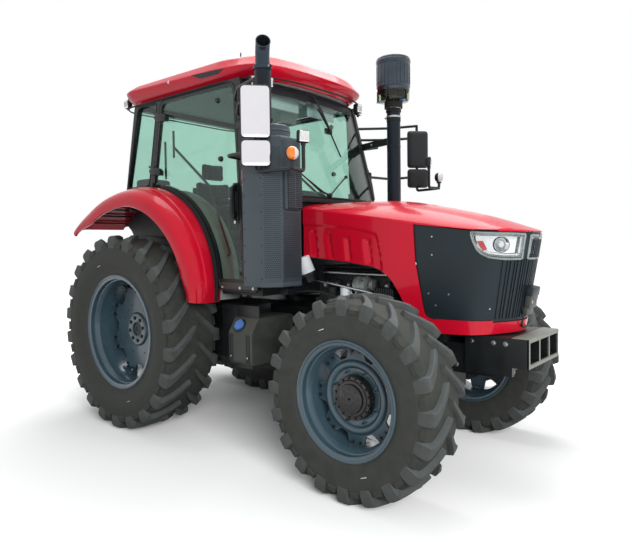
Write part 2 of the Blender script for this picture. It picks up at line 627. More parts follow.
def rear_rim_piece(name, side):
    """Deep rear rim: a flat disc behind, tied to the rim by eight pairs of bolted brackets."""
    r, half, hub = wheel(name, side)
    made = Maker("wheel_enamel", "hub_enamel", "black_plastic")
    made.spin(rim_profile(r, half), hub, 112, closed=True)
    disc_r = r - 112
    disc = [(62, -14), (62, 20), (68, 24), (132, 25), (143, 22), (150, 12), (156, 2), (166, 0),
        (disc_r - 5, 0), (disc_r, -4), (disc_r, -14), (disc_r - 4, -17), (80, -17)]
    made.spin(disc, hub, 112, closed=True, wave=lobed(disc_r - 70, radians(22.5)))
    for place in around(hub, 8, 104, 10):
        made.bolt(moved(place, 0, 0, 24), 14, 16, 1)
    made.spin([(60, -40), (60, 8), (54, 12), (20, 12), (16, 6), (0, 6)], hub, 32, 2)
    for place in around(hub, LUGS, 232, 22.5):
        made.spin([(0, 1.2), (9, 1.2), (10, -1)], place, 16, 2)
    for n in range(LUGS):
        for k in (-6.5, 6.5):
            turn = moved(turned(hub, 360 / LUGS * n + 22.5 + k), disc_r)
            made.block(-30, 44, -17, 17, -46, -18, 4, 0, turn)
            made.block(26, 46, -19, 19, -50, 30, 4, 0, turn)
            made.bolt(moved(turn, -12), 9, 10, 1)
            made.bolt(turned(moved(turn, 24, 0, -8), -90, "Y"), 9, 12, 1)
    return made


# ---- hood
HOOD_CROWN = ((1600, 1952), (2000, 1950), (2350, 1936), (2700, 1876), (3060, 1789), (3388, 1678))
HOOD_SHOULDER = ((1600, 1918), (2000, 1862), (2350, 1810), (2700, 1756), (3060, 1702), (3388, 1650))
HOOD_WIDTH = ((1600, 400), (2350, 396), (2700, 383), (3060, 362), (3388, 342))
HOOD_PLAN = ((1642, 400), (2000, 398), (2350, 396), (2700, 383), (2900, 375), (3040, 359), (3140, 334),
    (3222, 292), (3290, 228), (3338, 150), (3366, 70), (3376, 0))
HOOD_FOOT = ((1600, 1516), (1900, 1490), (2200, 1456), (2330, 1432), (2450, 1370), (2556, 1216),
    (2640, 1066), (2700, 1016), (2745, 1003), (3000, 1006), (3390, 1018))
PANEL_OUTLINE = [(2642, 1748), (2655, 1500), (2716, 1170), (2724, 1140), (2738, 1116), (2760, 1102),
    (2790, 1096), (3500, 1096), (3500, 1672), (3040, 1702)]
LAMP_OUTLINE = [(3046, 1698), (3066, 1628), (3092, 1572), (3122, 1543), (3170, 1520), (3260, 1507),
    (3500, 1507), (3500, 1660), (3376, 1660)]
SIDE_STEPS, TOP_STEPS = 44, 14  # of the hood's sheet, up its side and over its top
# across: inner end of each headlamp, and outer end of the light bar between them
LAMP_INNER, BAR_OUTER = 142.0, 106.0
PRESS_TOP = ((1500, 1796), (1942, 1764), (2192, 1732), (2349, 1692))
LOUVRES = ((1763, 1704, 1782, 1533), (1910, 1690, 1938, 1516), (2089, 1653, 2107, 1491),
    (2273, 1634, 2294, 1479))


def hood_top(x, y):
    """Height of the hood's top over a place, from its shoulder and crown lines."""
    share = min(1.0, abs(y) / along(HOOD_WIDTH, x))
    shoulder, crown = along(HOOD_SHOULDER, x), along(HOOD_CROWN, x)
    rise = 1 - share ** 2.2 if share > 0.62 else 1 - 0.62 ** 2.2 * (share / 0.62) ** 2
    return shoulder + (crown - shoulder) * rise


def pressed_in(x, z):
    """Depth of the pressings in the hood's side at a place: the long field and its four louvres."""
    top = along(PRESS_TOP, min(x, 2349)) - 620 * ease(2330, 2470, x)
    deep = 8 * ease(0, 22, top - z) * (1 - ease(2372, 2400, x))
    for x_top, z_top, x_low, z_low in LOUVRES:
        slot = x_top + (x_low - x_top) * (z_top - z) / (z_top - z_low)
        ends = ease(z_low - 22, z_low + 8, z) * (1 - ease(z_top - 8, z_top + 26, z))
        if ends and slot - 74 < x < slot + 10:
            deep += ends * (15 * ease(slot - 66, slot - 6, x) * (1 - ease(slot + 1, slot + 9, x)))
    return deep


def nose_sweep(x, z):
    """How far back the nose leans at a height, for a place ahead."""
    return (1640 - min(z, 1640)) * 0.178 * ease(2950, 3376, x)


def hood_wall(x, y, z):
    """A point on the hood's upright side, leaning back towards its foot at the nose."""
    back = nose_sweep(x, z)
    inward = pressed_in(x, z) if x < 2480 else 0.0
    return x - back, -(y - inward - 0.05 * back * ease(60, 200, y)), z


def hood_columns():
    """Places round the hood in plan, close together where it is pressed or curved."""
    edges = [1642 + 9.5 * n for n in range(100)]
    rows = [(x, along(HOOD_PLAN, x)) for x in edges]
    front = flow([(x, y, 0) for x, y in HOOD_PLAN[3:]], 8)
    return rows + [(p.x, p.y) for p in front if p.x > edges[-1] + 8]


def cut_plane(mesh, place, normal):
    """Cuts a mesh along a plane, and keeps both sides."""
    bmesh.ops.bisect_plane(mesh, geom=mesh.verts[:] + mesh.edges[:] + mesh.faces[:], dist=0.2,
        plane_co=place, plane_no=normal)


def faces_inside(mesh, outline):
    """A mesh's faces whose middles lie in an outline seen from the side."""
    middles = ((f, f.calc_center_median()) for f in mesh.faces)
    return [f for f, middle in middles if inside_outline(middle.x, middle.z, outline)]


def cut_along(mesh, outline):
    """Cuts a mesh along an outline seen from the side, and returns the faces inside it."""
    for (x0, z0), (x1, z1) in zip(outline, outline[1:] + outline[:1]):
        if max(x0, x1) < 3490:
            cut_plane(mesh, (x0, 0, z0), (z1 - z0, 0, x0 - x1))
    return faces_inside(mesh, outline)


def split_off(source, faces):
    """Moves faces of one mesh into a new one."""
    other = bmesh.new()
    points = {}
    for f in faces:
        for v in f.verts:
            if v not in points:
                points[v] = other.verts.new(v.co)
    for f in faces:
        other.faces.new([points[v] for v in f.verts])
    bmesh.ops.delete(source, geom=faces, context="FACES")
    return other


def hood_sheet():
    """The hood's right half as one sheet: upright side and nose, then the shoulder and the top."""
    made = Maker()
    rows = []
    for x, y in hood_columns():
        low, high = along(HOOD_FOOT, x), hood_top(x, y)
        row = [hood_wall(x, y, low + (high - 20 - low) * k / SIDE_STEPS) for k in range(SIDE_STEPS + 1)]
        row += [hood_wall(x, y - 1.5, high - 10), hood_wall(x, y - 7, high - 2.5)]
        for k in range(1, TOP_STEPS + 1):
            side = max(0.0, y - 16) * (1 - k / TOP_STEPS)
            row.append((x, -side, hood_top(x, side)))
        rows.append(row)
    made.skin(rows)
    bmesh.ops.remove_doubles(made.mesh, verts=made.mesh.verts[:], dist=0.05)
    return made.mesh


def hood_pieces():
    """Splits the hood's sheet into painted shell, dark panel and lamp lenses."""
    sheet = hood_sheet()
    panel = split_off(sheet, cut_along(sheet, PANEL_OUTLINE))
    cut_along(panel, LAMP_OUTLINE)
    for across in (LAMP_INNER, BAR_OUTER):
        cut_plane(panel, (0, -across, 0), (0, 1, 0))
    lens = split_off(panel, [f for f in faces_inside(panel, LAMP_OUTLINE)
        if not -LAMP_INNER < f.calc_center_median().y < -BAR_OUTER])
    return sheet, panel, lens


def inset(mesh, distance):
    """Moves a sheet inwards along its own normals."""
    bmesh.ops.recalc_face_normals(mesh, faces=mesh.faces[:])
    mesh.normal_update()
    middle = Vector((2600, 0, 1300))
    sign = sum(f.normal.dot(f.calc_center_median() - middle) for f in mesh.faces)
    sign = 1 if sign > 0 else -1
    for v in mesh.verts:
        v.co -= v.normal * sign * distance


def surface_point(column, z, proud=0.0):
    """A point on the hood's side over a column, moved outwards, and the outward direction in plan."""
    columns = hood_columns()
    k = min(range(1, len(columns) - 1), key=lambda n: abs(n - column))
    (xa, ya), (xb, yb) = columns[k - 1], columns[k + 1]
    out = Vector((ya - yb, -(xb - xa), 0)).normalized()
    return Vector(hood_wall(*columns[k], z)) + out * proud, out


def column_at(x):
    """Number of the hood's column that is nearest to a place ahead."""
    columns = hood_columns()
    return min(range(1, len(columns) - 1), key=lambda n: abs(columns[n][0] - x))


def nose_ribs(made):
    """Upright ribs over the nose, from the lower edge of the panel up to the lamps."""
    columns = hood_columns()
    for y in range(0, 288, 24):
        k = min(range(1, len(columns)), key=lambda n: abs(columns[n][1] - y) + (0 if columns[n][0] > 3150
            else 999))
        k = min(k, len(columns) - 2)
        high = 1500 if y > 104 else 1632
        rows = []
        for n in range(9):
            z = 1112 + (high - 1112) * n / 8
            point, out = surface_point(k, z, -8)
            along_side = Vector((-out.y, out.x, 0))
            rows.append([point + along_side * w + out * h for w, h in ((-6, 0), (-4, 9), (4, 9), (6, 0))])
        made.skin(rows, ring=True, caps=True)


def lamp_outline(inward=0.0, bar=False):
    """Columns and heights along the edge of a headlamp, or of half the light bar, drawn in by that much."""
    columns = hood_columns()
    upper = [(3040, 1698), (3080, 1688), (3500, 1656)]
    lower = [(3044, 1698), *LAMP_OUTLINE[1:7]]

    def height(rows, x):
        for (x0, z0), (x1, z1) in zip(rows, rows[1:]):
            if x <= x1:
                return z0 + (z1 - z0) * (x - x0) / (x1 - x0)
        return rows[-1][1]

    if bar:
        picked = [k for k, (x, y) in enumerate(columns) if x > 3100 and y < BAR_OUTER - inward]
    else:
        picked = [k for k, (x, y) in enumerate(columns) if x > 3052 + inward and y > LAMP_INNER + inward]
    top = [(k, min(height(upper, columns[k][0]), hood_top(*columns[k]) - 22) - inward) for k in picked]
    low = [(k, height(lower, columns[k][0]) + inward) for k in picked]
    return top, low


def make_hood():
    """The hood's shell, its dark panel, and its lamps with lens, housing, rim and reflectors."""
    shell, panel, lens = hood_pieces()
    house = lens.copy()
    made = Maker("red_enamel")
    made.absorb(shell, 0)
    made.mirror()
    thickened(made.done("hood_shell_panels", "red_paint", ("hood_shell",), body="hood", weld=0.1), 5)

    inset(panel, 7)
    made = Maker("anthracite_abs", "black_plastic")
    made.absorb(panel, 0)
    nose_ribs(made)
    made.mirror()
    made.done("hood_side_grilles", "grille_plastic", ("hood_grille",), body="hood", weld=0.1,
        tidy_normals=False)

    inset(lens, 2)
    inset(house, 38)
    made = Maker("clear_lens")
    made.absorb(lens, 0)
    made.mirror()
    glass = made.done("headlamp_lenses", "lamp_lens", ("headlamps",), body="hood", weld=0.1)
    glass.visible_shadow = False
    made = Maker("chromed_plastic", "lamp_rim", "red_acrylic", "white_lens", "black_plastic", "clear_lens")
    made.absorb(house, 0)
    for bar in (False, True):
        for inward, proud, thick in ((0, -3, 8), (15, -12, 4)):
            top, low = lamp_outline(inward, bar)
            top = top[:-1] if bar else top
            edge = top[::-1] + low
            loop = [surface_point(k, z, proud)[0] for k, z in edge]
            made.tube(loop if bar else loop + loop[:2], thick, 1, 8, False)
            if not inward:
                deep = [surface_point(k, z, -38)[0] for k, z in edge]
                made.skin([loop, deep] if bar else [loop + loop[:1], deep + deep[:1]])
    low = lamp_outline(15)[1]
    bowl, r = facing(*surface_point(column_at(3236), 1600, -14)), 46
    made.spin([(r, 2), (r + 3, 0), (r, -3), (r * 0.8, -14), (r * 0.4, -26), (0, -28)], bowl, 24)
    made.spin([(r * 0.42, -24), (r * 0.4, -8), (r * 0.25, -3), (0, -1)], bowl, 16, 3)
    made.spin([(r + 3, 1), (r + 6, 0), (r + 6, -6)], bowl, 24, 4)
    for k, z in low[2:-1]:
        point, out = surface_point(k, z + 12, -20)
        made.block(-5, 7, -9, 9, -4, 3, 2, 3, facing(point, out))
    corner = facing(*surface_point(column_at(3122), 1596, -12))
    made.plate([(30, 26), (30, -8), (-26, -40), (-34, -14)], -2, 3, 1.5, 2, corner)
    made.mirror()
    made.done("headlamp_housings", "lamp_lens", body="hood")


def make_hood_trim():
    """Dark slots of the louvres, the rubber strip under the hood, and the latch plate at the nose."""
    made = Maker("black_plastic", "black_rubber", "grey_powder_coat", "zinc_steel", "anthracite_abs")
    for x_top, z_top, x_low, z_low in LOUVRES:
        rows = []
        for n in range(9):
            z = z_top + (z_low - z_top) * n / 8
            x = x_top + (x_low - x_top) * n / 8
            narrow = 1 - 0.9 * abs(n / 4 - 1) ** 6
            back = Vector(hood_wall(x - 7 * narrow, along(HOOD_PLAN, x), z))
            front = Vector(hood_wall(x + 1.5 * narrow, along(HOOD_PLAN, x), z))
            back.y = front.y = min(back.y, front.y) + 6
            rows.append([back, front])
        made.skin(rows)
    foot = [(1655 + 40 * n, along(HOOD_FOOT, 1655 + 40 * n) + 3) for n in range(22)]
    made.tube([(x, -along(HOOD_PLAN, x) + 6, z) for x, z in foot], 6, 1, 8)
    for x, z in ((2790, 1660), (2766, 1536), (2760, 1270), (2905, 1270), (2800, 1190), (3210, 1180)):
        made.spin([(0, 1.6), (5, 1.2), (7, -1)], facing(*surface_point(column_at(x), z, -7)), 12, 3)
    made.mirror()
    nose = [hood_wall(3372, 0, z)[0] for z in (1120, 1310)]
    lean = atan2(nose[1] - nose[0], 190)
    plate = upright(nose[0] + 4, 0, 1120) @ Matrix.Rotation(lean, 4, "Y")
    made.block(-10, 44, -70, 70, 140, 204, 9, 4, plate)
    made.block(0, 40, -66, 66, 60, 150, 6, 2, plate)
    made.block(-8, 26, -58, 58, 8, 66, 6, 2, plate)
    for y in (-40, 40):
        made.bolt(facing(plate @ Vector((40, y, 104)), (1, 0, 0)), 7, 6, 3)
    low = nose[0] + 8
    made.pipe([(low, -70, 1190), (low + 10, -74, 1120), (low - 4, -78, 1060), (low - 12, -20, 1040),
        (low - 12, 40, 1040)], 24, 6, 0, 8)
    made.done("hood_trim", "grille_plastic", body="hood")


# ---- fenders
ARCH_X, ARCH_Z, ARCH_R, ARCH_REAR_R = 145.0, 1280.0, 855.0, 1400.0
FENDER_ROWS = ((520, 0), (700, 0), (782, 0), (796, 1), (806, 7), (816, 12), (834, 14), (900, 13), (918, 10),
    (926, 3), (934, 0), (958, -3), (980, -8), (1000, -16), (1022, -27), (1044, -38), (1062, -53),
    (1075, -74), (1082, -98), (1084, -120), (1084, -158), (1081, -167), (1074, -171), (1064, -170))


def arch_point(turn, proud=0.0):
    """A point of the wheel arch seen from the side, at that angle from straight ahead."""
    a = radians(turn)
    r, z = (ARCH_R, ARCH_Z) if turn <= 90 else (ARCH_REAR_R, ARCH_Z + ARCH_R - ARCH_REAR_R)
    return ARCH_X + (r + proud) * cos(a), z + (r + proud) * sin(a)


def make_fenders():
    """Rear fenders: arched top with a raised band, two creases and a rolled edge, ribbed underneath."""
    made = Maker("red_enamel")
    turns = [-9 + 99 * n / 60 for n in range(61)] + [90 + 41 * n / 36 for n in range(1, 37)]
    rows = []
    for turn in turns:
        band = (1 - ease(101, 112, turn)) * ease(-6, 4, turn)
        end = 1 - 0.35 * (1 - ease(-9, 8, turn)) - 0.45 * ease(116, 131, turn)
        taper = 1 - 0.34 * (1 - ease(-20, 80, turn))
        inward = 1 - 0.8 * (1 - ease(-9, 1, turn))
        row = []
        for y, h in FENDER_ROWS:
            y = 785 + (y - 785) * (taper if y > 785 else inward)
            raised = h * (band if h > 0 else 1)
            lifted = raised if h > -30 else raised * end
            x, z = arch_point(turn, lifted)
            row.append((x, -y, z))
        rows.append(row)
    made.skin(rows)
    made.mirror()
    thickened(made.done("rear_fender_shells", "red_paint", ("rear_fenders",), sharp=28, weld=0.1), 5)
    made = Maker("red_enamel", "black_rubber", "black_plastic", "zinc_steel")
    wall = []
    for turn in range(3, 132, 3):
        x, z = arch_point(turn, -3)
        wall.append(((x, -521, z), (x, -521, z - (z - 1175) * (1 - ease(104, 130, turn)))))
    made.skin([[top for top, low in wall], [low for top, low in wall]], 2)
    for turn in range(96, 128, 5):
        x, z = arch_point(turn, -16)
        place = turned(upright(x, 0, z), 90 - turn, "Y")
        made.block(-5, 5, -985, -540, -12, 4, 3, 2, place)
    seal = [arch_point(t, 16) for t in range(-8, 82, 3)]
    made.tube([(x, -775, z) for x, z in seal], 15, 1, 10)
    made.tube([(x, -787, z) for x, z in [arch_point(t, 4) for t in range(-8, 82, 3)]], 5, 2, 8)
    for turn in (-4, 20, 45):
        x, z = arch_point(turn, 0)
        made.bolt(facing((x, -700, z), (x - ARCH_X, 0, z - ARCH_Z)), 9, 6, 3)
    made.mirror()
    made.done("fender_ribs_and_seals", "red_paint")


# ---- cab
ROOF_BASE = ((-385, 0), (-385, 590), (-350, 700), (-230, 790), (1130, 790), (1370, 735), (1470, 655),
    (1530, 480), (1560, 220), (1560, 0))
ROOF_RINGS = ((2936, 96), (2937, 84), (2944, 76), (2998, 22), (3030, 5), (3042, 0), (3048, 0), (3056, 4),
    (3066, 12), (3108, 50), (3119, 59), (3126, 70), (3132, 88), (3152, 190), (3166, 330), (3171, 470),
    (3172, 620), (3172, 780))


def roof_rise(x, z):
    """How much the crease round the roof stands above its level: high at the back, low at the front."""
    return (22 - 42 * ease(560, 1200, x)) * ease(2938, 3042, z) * (1 - ease(3066, 3150, z))


def roof_ring(inset_by):
    """The roof's right half outline in plan, drawn in by that much."""
    middle = (ROOF_BASE[0][0] + ROOF_BASE[-1][0]) / 2
    reach = ROOF_BASE[-1][0] - middle
    rows = softened([(x, y, 0) for x, y in ROOF_BASE], 95, 6)
    return [(middle + (p.x - middle) * (1 - inset_by / reach), p.y * max(0.0, 1 - inset_by / 790))
        for p in rows]


def make_roof():
    """Roof cap with its shoulder, air inlets at the sides, seams and the aerial's foot."""
    made = Maker("red_enamel")
    made.skin([[(x, -y, z + roof_rise(x, z)) for x, y in roof_ring(inset_by)] for z, inset_by in ROOF_RINGS])
    made.mirror()
    roof = made.done("roof_cap", "red_paint", ("cab_roof",), sharp=30, weld=0.3)
    thickened(roof, 7)
    made = Maker("headliner_felt")
    ring = roof_ring(102)
    made.plate([(x, -y) for x, y in ring] + [(x, y) for x, y in ring[-2:0:-1]], 2937, 2943, 1.5)
    made.done("headliner_panel", "headliner_grey", ("headliner",))
    made = Maker("black_plastic", "black_rubber", "red_enamel", "zinc_steel")
    outline = [(858, 3007), (1080, 3002), (1160, 3030), (762, 3049)]
    lean = -0.41
    made.plate([(z * hypot(1, lean), -x) for x, z in outline], -20, 10, 2, 0,
        facing((0, -772 - lean * 3005, 0), (0, -1, lean)), 8)
    made.spin([(0, 5), (11, 4), (15, 0)], outward(430, -788, 3052), 20, 3)
    made.spin([(0, 3), (7, 2), (7, -1)], outward(-190, -789, 3010), 16)
    made.mirror()
    lower = [(x, -y * 0.985, 2931) for x, y in roof_ring(6)]
    for way in (1, -1):
        made.tube([(x, way * y, z) for x, y, z in lower], 7, 1, 8)
    made.spin([(0, 92), (5, 90), (6, 60), (8, 40), (16, 20), (24, 10), (26, 0), (26, -8)],
        upright(1056, -503, 3150), 20)
    made.done("roof_fittings", "red_paint")


def pillar_line(low, high, z):
    """Place of a leaning pillar at a height."""
    return low[0] + (z - low[1]) * (high[0] - low[0]) / (high[1] - low[1])


A_FOOT, A_TOP = (1345.0, 1310.0), (1262.0, 2890.0)
B_FOOT, B_TOP = (95.0, 2135.0), (250.0, 2900.0)
C_FOOT, C_TOP = (-320.0, 2140.0), (-105.0, 2900.0)
SCREEN_FOOT, SCREEN_TOP = (1560.0, 1960.0), (1300.0, 2905.0)


def screen_point(y, z, proud=0.0):
    """A point on the windscreen's outer face."""
    return Vector((pillar_line(SCREEN_FOOT, SCREEN_TOP, z) + 22 + 90 * (1 - (y / 709) ** 2) + proud, y, z))


def make_glass_trim():
    """Rubber seals and printed borders round the cab's glass."""
    made = Maker("black_rubber", "black_plastic")
    for z in (2926, 2003):
        made.tube([screen_point(-702 + 1404 * n / 24, z, 2) for n in range(25)], 9, 0, 8)
    for way in (-1, 1):
        made.tube([screen_point(way * 706, z, 3) for z in (2000, 2300, 2600, 2930)], 10, 0, 8)
        made.skin([[screen_point(way * y, z, 1.5) for z in (2010, 2300, 2600, 2860)] for y in (700, 668)], 1)
    band = [[screen_point(y, z, 1.5) for y in [-700 + 1400 * n / 24 for n in range(25)]]
        for z in (2926, 2880, 2846)]
    made.skin(band, 1)
    quarter = [(pillar_line(C_FOOT, C_TOP, 2172) + 27, 2172), (pillar_line(C_FOOT, C_TOP, 2910) + 27, 2910),
        (pillar_line(B_FOOT, B_TOP, 2910) - 27, 2910), (pillar_line(B_FOOT, B_TOP, 2172) - 27, 2172)]
    loop = softened([(x, 0, z) for x, z in quarter + quarter[:2]], 50)[1:-1]
    for side in (-1, 1):
        made.tube([(p.x, side * 762, p.z) for p in loop] + [(loop[0].x, side * 762, loop[0].z)], 7, 0, 8)
    made.done("glass_seals", "black_paint", tidy_normals=False)


def make_doors():
    """Hinge covers, glass fixings, handles, inside pull bars and sill bands of the two doors."""
    for side, name in SIDES:
        made = Maker("black_plastic", "black_rubber", "zinc_steel", "black_powder_coat")
        for z in (2290, 2760):
            x = 232 + (z - 2500) * 0.2 + 26
            cap = facing((x, side * 788, z), (0, side, 0), (1, 0, -0.12))
            made.spin([(34, -22), (36, 0), (35, 14), (31, 22), (22, 27), (0, 29)],
                cap @ Matrix.Diagonal((2.4, 1.05, 1, 1)))
        for x, z in ((1036, 2800), (1059, 2323)):
            made.spin([(0, 12), (17, 10), (22, 4), (23, -2), (23, -14)], outward(x, side * 753, z), 24)
        y = side * 728
        made.block(396, 420, y - 6, y + 6, 2400, 2640, 5, 3)
        made.block(272, 296, y - 6, y + 6, 2220, 2560, 5, 3)
        made.pipe([(405, y, 2500), (880, y, 2124), (1128, y, 1552), (1108, y, 1530)], 46, 10, 3, 10)
        made.tube([(420, y, 2472), (640, y, 2300), (846, y, 2136)], 5, 2, 8)
        x = pillar_line(A_FOOT, A_TOP, 1960) - 50
        grip = softened([(x + 4, side * 770, 2094), (x + 4, side * 812, 2076), (x - 6, side * 816, 1960),
            (x - 4, side * 812, 1846), (x - 4, side * 770, 1828)], 24, 4)
        made.tube(grip, 15)
        made.block(x - 34, x + 26, side * 762, side * 776, 1812, 2112, 6)
        made.spin([(0, 10), (13, 8), (16, 0), (16, -6)], outward(x - 6, side * 776, 1800), 20, 2)
        low = pillar_line(A_FOOT, A_TOP, 1400)
        made.block(low - 70, low - 18, side * 748, side * 757, 1370, 1406, 4, 1)
        made.done(f"door_fittings_{name}", "black_paint", body=f"door_body_{name}")
    made = Maker("grey_powder_coat", "zinc_steel", "black_plastic", "amber_acrylic", "black_powder_coat")
    start = arch_point(2, 36)[0]
    outline = [(start + 6, 1316), (1486, 1316), (1486, 1262), (start + 60, 1262), (start + 16, 1284)]
    made.plate([(z, -x) for x, z in outline], 0, 9, 3, 0, outward(0, -765, 0))
    for x in (1080, 1290, 1440):
        made.bolt(outward(x, -774, 1275), 8, 8, 1)
    made.pipe([(start + 4, -770, 1340), (start + 24, -772, 1268), (start + 90, -772, 1252),
        (1480, -772, 1252)], 40, 9, 4, 8)
    made.block(1338, 1352, -766, -782, 2122, 2206, 3, 3)
    made.block(1336, 1350, -766, -778, 2030, 2100, 3, 1)
    made.block(1330, 1402, -764, -772, 1322, 1950, 3, 2)
    made.mirror()
    made.done("sill_bands", "black_paint")


# bars of the wipers: finish, sides, radius, and points as (across, height, distance from the glass)
WIPER_BARS = ((2, 8, (9, 8, 5), (-94, 2024, 26), (-165, 2045, 22), (-300, 2140, 16)),
    (1, 8, 6, (-420, 2236, 10), (-300, 2140, 10), (-180, 2046, 10)), (2, 8, (8, 7, 7), (-94, 2024, 26),
    (60, 2118, 20), (209, 2204, 20)), (2, 8, (9, 9, 8, 6), (-12, 2905, 26), (60, 2780, 24), (118, 2650, 20),
    (150, 2590, 14)), (1, 8, 7, (40, 2800, 8), (130, 2630, 9), (221, 2390, 9)), (1, 6, 4, (14, 2800, 15),
    (80, 2700, 15), (130, 2630, 13)),)


def make_screen_gear():
    """Cowl, wipers and the roof-edge blinds in front of and behind the windscreen."""
    made = Maker("black_plastic", "black_rubber", "black_powder_coat")
    plan = [(-640, 1520), (-560, 1596), (-330, 1648), (-120, 1664), (120, 1664), (330, 1648), (560, 1596),
        (640, 1520)]
    rows = [[(x + grow, y * (1 + grow / 1400), z) for y, x in plan] for z, grow in ((1964, -6), (1988, 0),
        (2000, -4), (2006, -24))]
    made.skin(rows)
    made.skin([rows[-1], [(1560, y, 2008) for y, _ in plan]])
    pivot = screen_point(-94, 2024, 26)
    made.spin([(0, 18), (16, 14), (20, 0), (20, -24)], facing(pivot, (1, 0, 0.3)), 20)
    side_end = screen_point(209, 2204, 20)
    made.spin([(0, 14), (13, 11), (16, 0), (13, -10), (0, -12)], facing(side_end, (1, 0, 0.3)), 16)
    for finish, sides, radius, *way in WIPER_BARS:
        made.tube([screen_point(*point) for point in way], radius, finish, sides)
    made.block(1360, 1412, -60, 40, 2896, 2932, 8)
    made.block(1466, 1490, 96, 190, 2588, 2640, 8)
    made.done("screen_wipers_and_cowl", "black_paint")


def make_cab_inside():
    """Light trim over the fenders, roof console, visors, dash hood, levers and the seat's frame."""
    made = Maker("light_trim", "dash_moulding", "black_plastic", "zinc_steel", "headliner_felt")
    turns = [-8 + 3 * n for n in range(36)]
    arc = [arch_point(t, 5) for t in turns]
    arc = [(max(x, -300), z) for x, z in arc]
    made.skin([[(x, -y, z) for x, z in arc] for y in (728, 640, 524, 514)])
    made.skin([[(x, -514, z) for x, z in arc], [(x, -513, max(1264, z - 30)) for x, z in arc],
        [(x, -513, 1264) for x, z in arc]])
    made.block(-250, -60, -420, -700, 2142, 2260, 30, 1)
    made.block(940, 1230, -340, -505, 1264, 1420, 25, 1)
    made.tube([(1215, -40, 1850), (1190, -190, 1900)], 6, 2, 8)
    made.mirror()
    made.block(120, 700, -505, -330, 1900, 1985, 30, 1)
    made.block(640, 720, -470, -370, 1985, 2070, 18, 2)
    for x, y, h in ((560, -380, 120), (610, -430, 150), (660, -400, 105)):
        made.tube([(x, y, 1980), (x + 10, y, 1980 + h)], 7, 2, 8)
        made.spin([(0, 34), (14, 30), (17, 12), (12, 0), (7, -4)], upright(x + 10, y, 1976 + h), 16, 2)
    hood = [(1225, 1880), (1180, 1960), (1200, 2050), (1290, 2100), (1400, 2080), (1436, 1990), (1436, 1880)]
    made.plate([(z, x) for x, z in hood], -190, 190, 18, 1, facing((0, 0, 0), (0, 1, 0)), 40)
    made.plate([(-70, -130), (70, -130), (70, 130), (-70, 130)], 0, 4, 2, 2,
        facing((1188, 0, 2000), (-1, 0, 0.32)), 30)
    for y in (-60, 60):
        made.spin([(0, 7), (38, 7), (42, 4), (42, 0)], facing((1186, y, 2000), (-1, 0, 0.32)), 24, 3)
    made.block(900, 1330, -520, 520, 2896, 2934, 14, 4)
    for y in (-440, 60):
        made.block(1296, 1310, y, y + 380, 2760, 2900, 6, 4)
    made.block(820, 860, 180, 420, 2800, 2900, 12, 4)
    for x in (1010, 1090, 1190):
        made.block(x, x + 60, -150 + (x - 1010), -60 + (x - 1010), 1275, 1400, 10, 2)
    made.done("cab_trim", "dash_plastic")
    made = Maker("dash_moulding", "black_plastic", "zinc_steel")
    made.block(60, 420, -250, -312, 1862, 1912, 22, 1)
    made.tube([(70, -280, 1700), (76, -282, 1880)], 14, 1, 10)
    made.mirror()
    x0, x1, y0, y1, z0, z1 = spread("seat_base")
    made.block(x0, x1, y0, y1, z0, z0 + 40, 8, 2)
    for n in range(5):
        z = z0 + 60 + 44 * n
        made.block(x0 + 24 + 4 * (n % 2), x1 - 24 - 4 * (n % 2), y0 + 22, y1 - 22, z, z + 42, 16, 1)
    made.block(x0 - 10, x1 + 10, y0 - 20, y1 + 20, z1 - 92, z1 - 4, 24)
    made.plate([(z1 - 40, -20), (z1 + 60, 20), (z1 + 560, -38), (z1 + 560, -64), (z1 + 30, -44)], -190, 190,
        8, 0, facing((40, 0, 0), (0, 1, 0)), 20)
    made.done("seat_frame", "dash_plastic", ("seat_base",))


# the cushions' mesh, how far they swell and how wide a seam draws them in, in metres
VOXEL, SWELL, SEAM = 0.006, 0.022, 0.016
CLOTH_FRAMES = 20


def cushion(name, node, low, high, round_by, channels):
    """A seat cushion: a crowned form, blown up as cloth between capped points, then sewn."""
    made = Maker("seat_cloth")
    made.block(low[0], high[0], low[1], high[1], low[2], high[2], round_by, steps=4)
    pad = made.done(name, "seat_fabric", node)
    mesh_again = pad.modifiers.new("Voxels", "REMESH")
    mesh_again.mode = "VOXEL"
    mesh_again.voxel_size = VOXEL
    apply_modifiers(pad)
    before = [v.co.copy() for v in pad.data.vertices]
    cloth = pad.modifiers.new("Cloth", "CLOTH")
    cloth.settings.use_pressure = True
    cloth.settings.uniform_pressure_force = 4.0
    cloth.settings.effector_weights.gravity = 0.0
    cloth.settings.quality = 4
    cloth.point_cache.frame_start = 1
    cloth.point_cache.frame_end = CLOTH_FRAMES
    for step in range(1, CLOTH_FRAMES + 1):
        bpy.context.scene.frame_set(step)
    apply_modifiers(pad)
    bpy.context.scene.frame_set(1)
    for v, start in zip(pad.data.vertices, before):
        move = v.co - start
        if move.length > SWELL:
            v.co = start + move * (SWELL / move.length)
    sew(pad, channels)
    for p in pad.data.polygons:
        p.use_smooth = True
    return pad


def apply_modifiers(piece):
    """Turns a piece's modifiers into its mesh."""
    graph = bpy.context.evaluated_depsgraph_get()
    graph.update()
    data = bpy.data.meshes.new_from_object(piece.evaluated_get(graph))
    old = piece.data
    piece.modifiers.clear()
    piece.data = data
    bpy.data.meshes.remove(old)


def sew(pad, channels):
    """Draws the surface in along sewn channels. Each channel is (axis, place in millimetres, depth)."""
    for axis, at, deep in channels:
        middle = at * MM + DATUM[axis]
        for v in pad.data.vertices:
            near = abs(v.co[axis] - middle)
            if near < SEAM:
                v.co -= v.normal * deep * MM * (1 - (near / SEAM) ** 2)


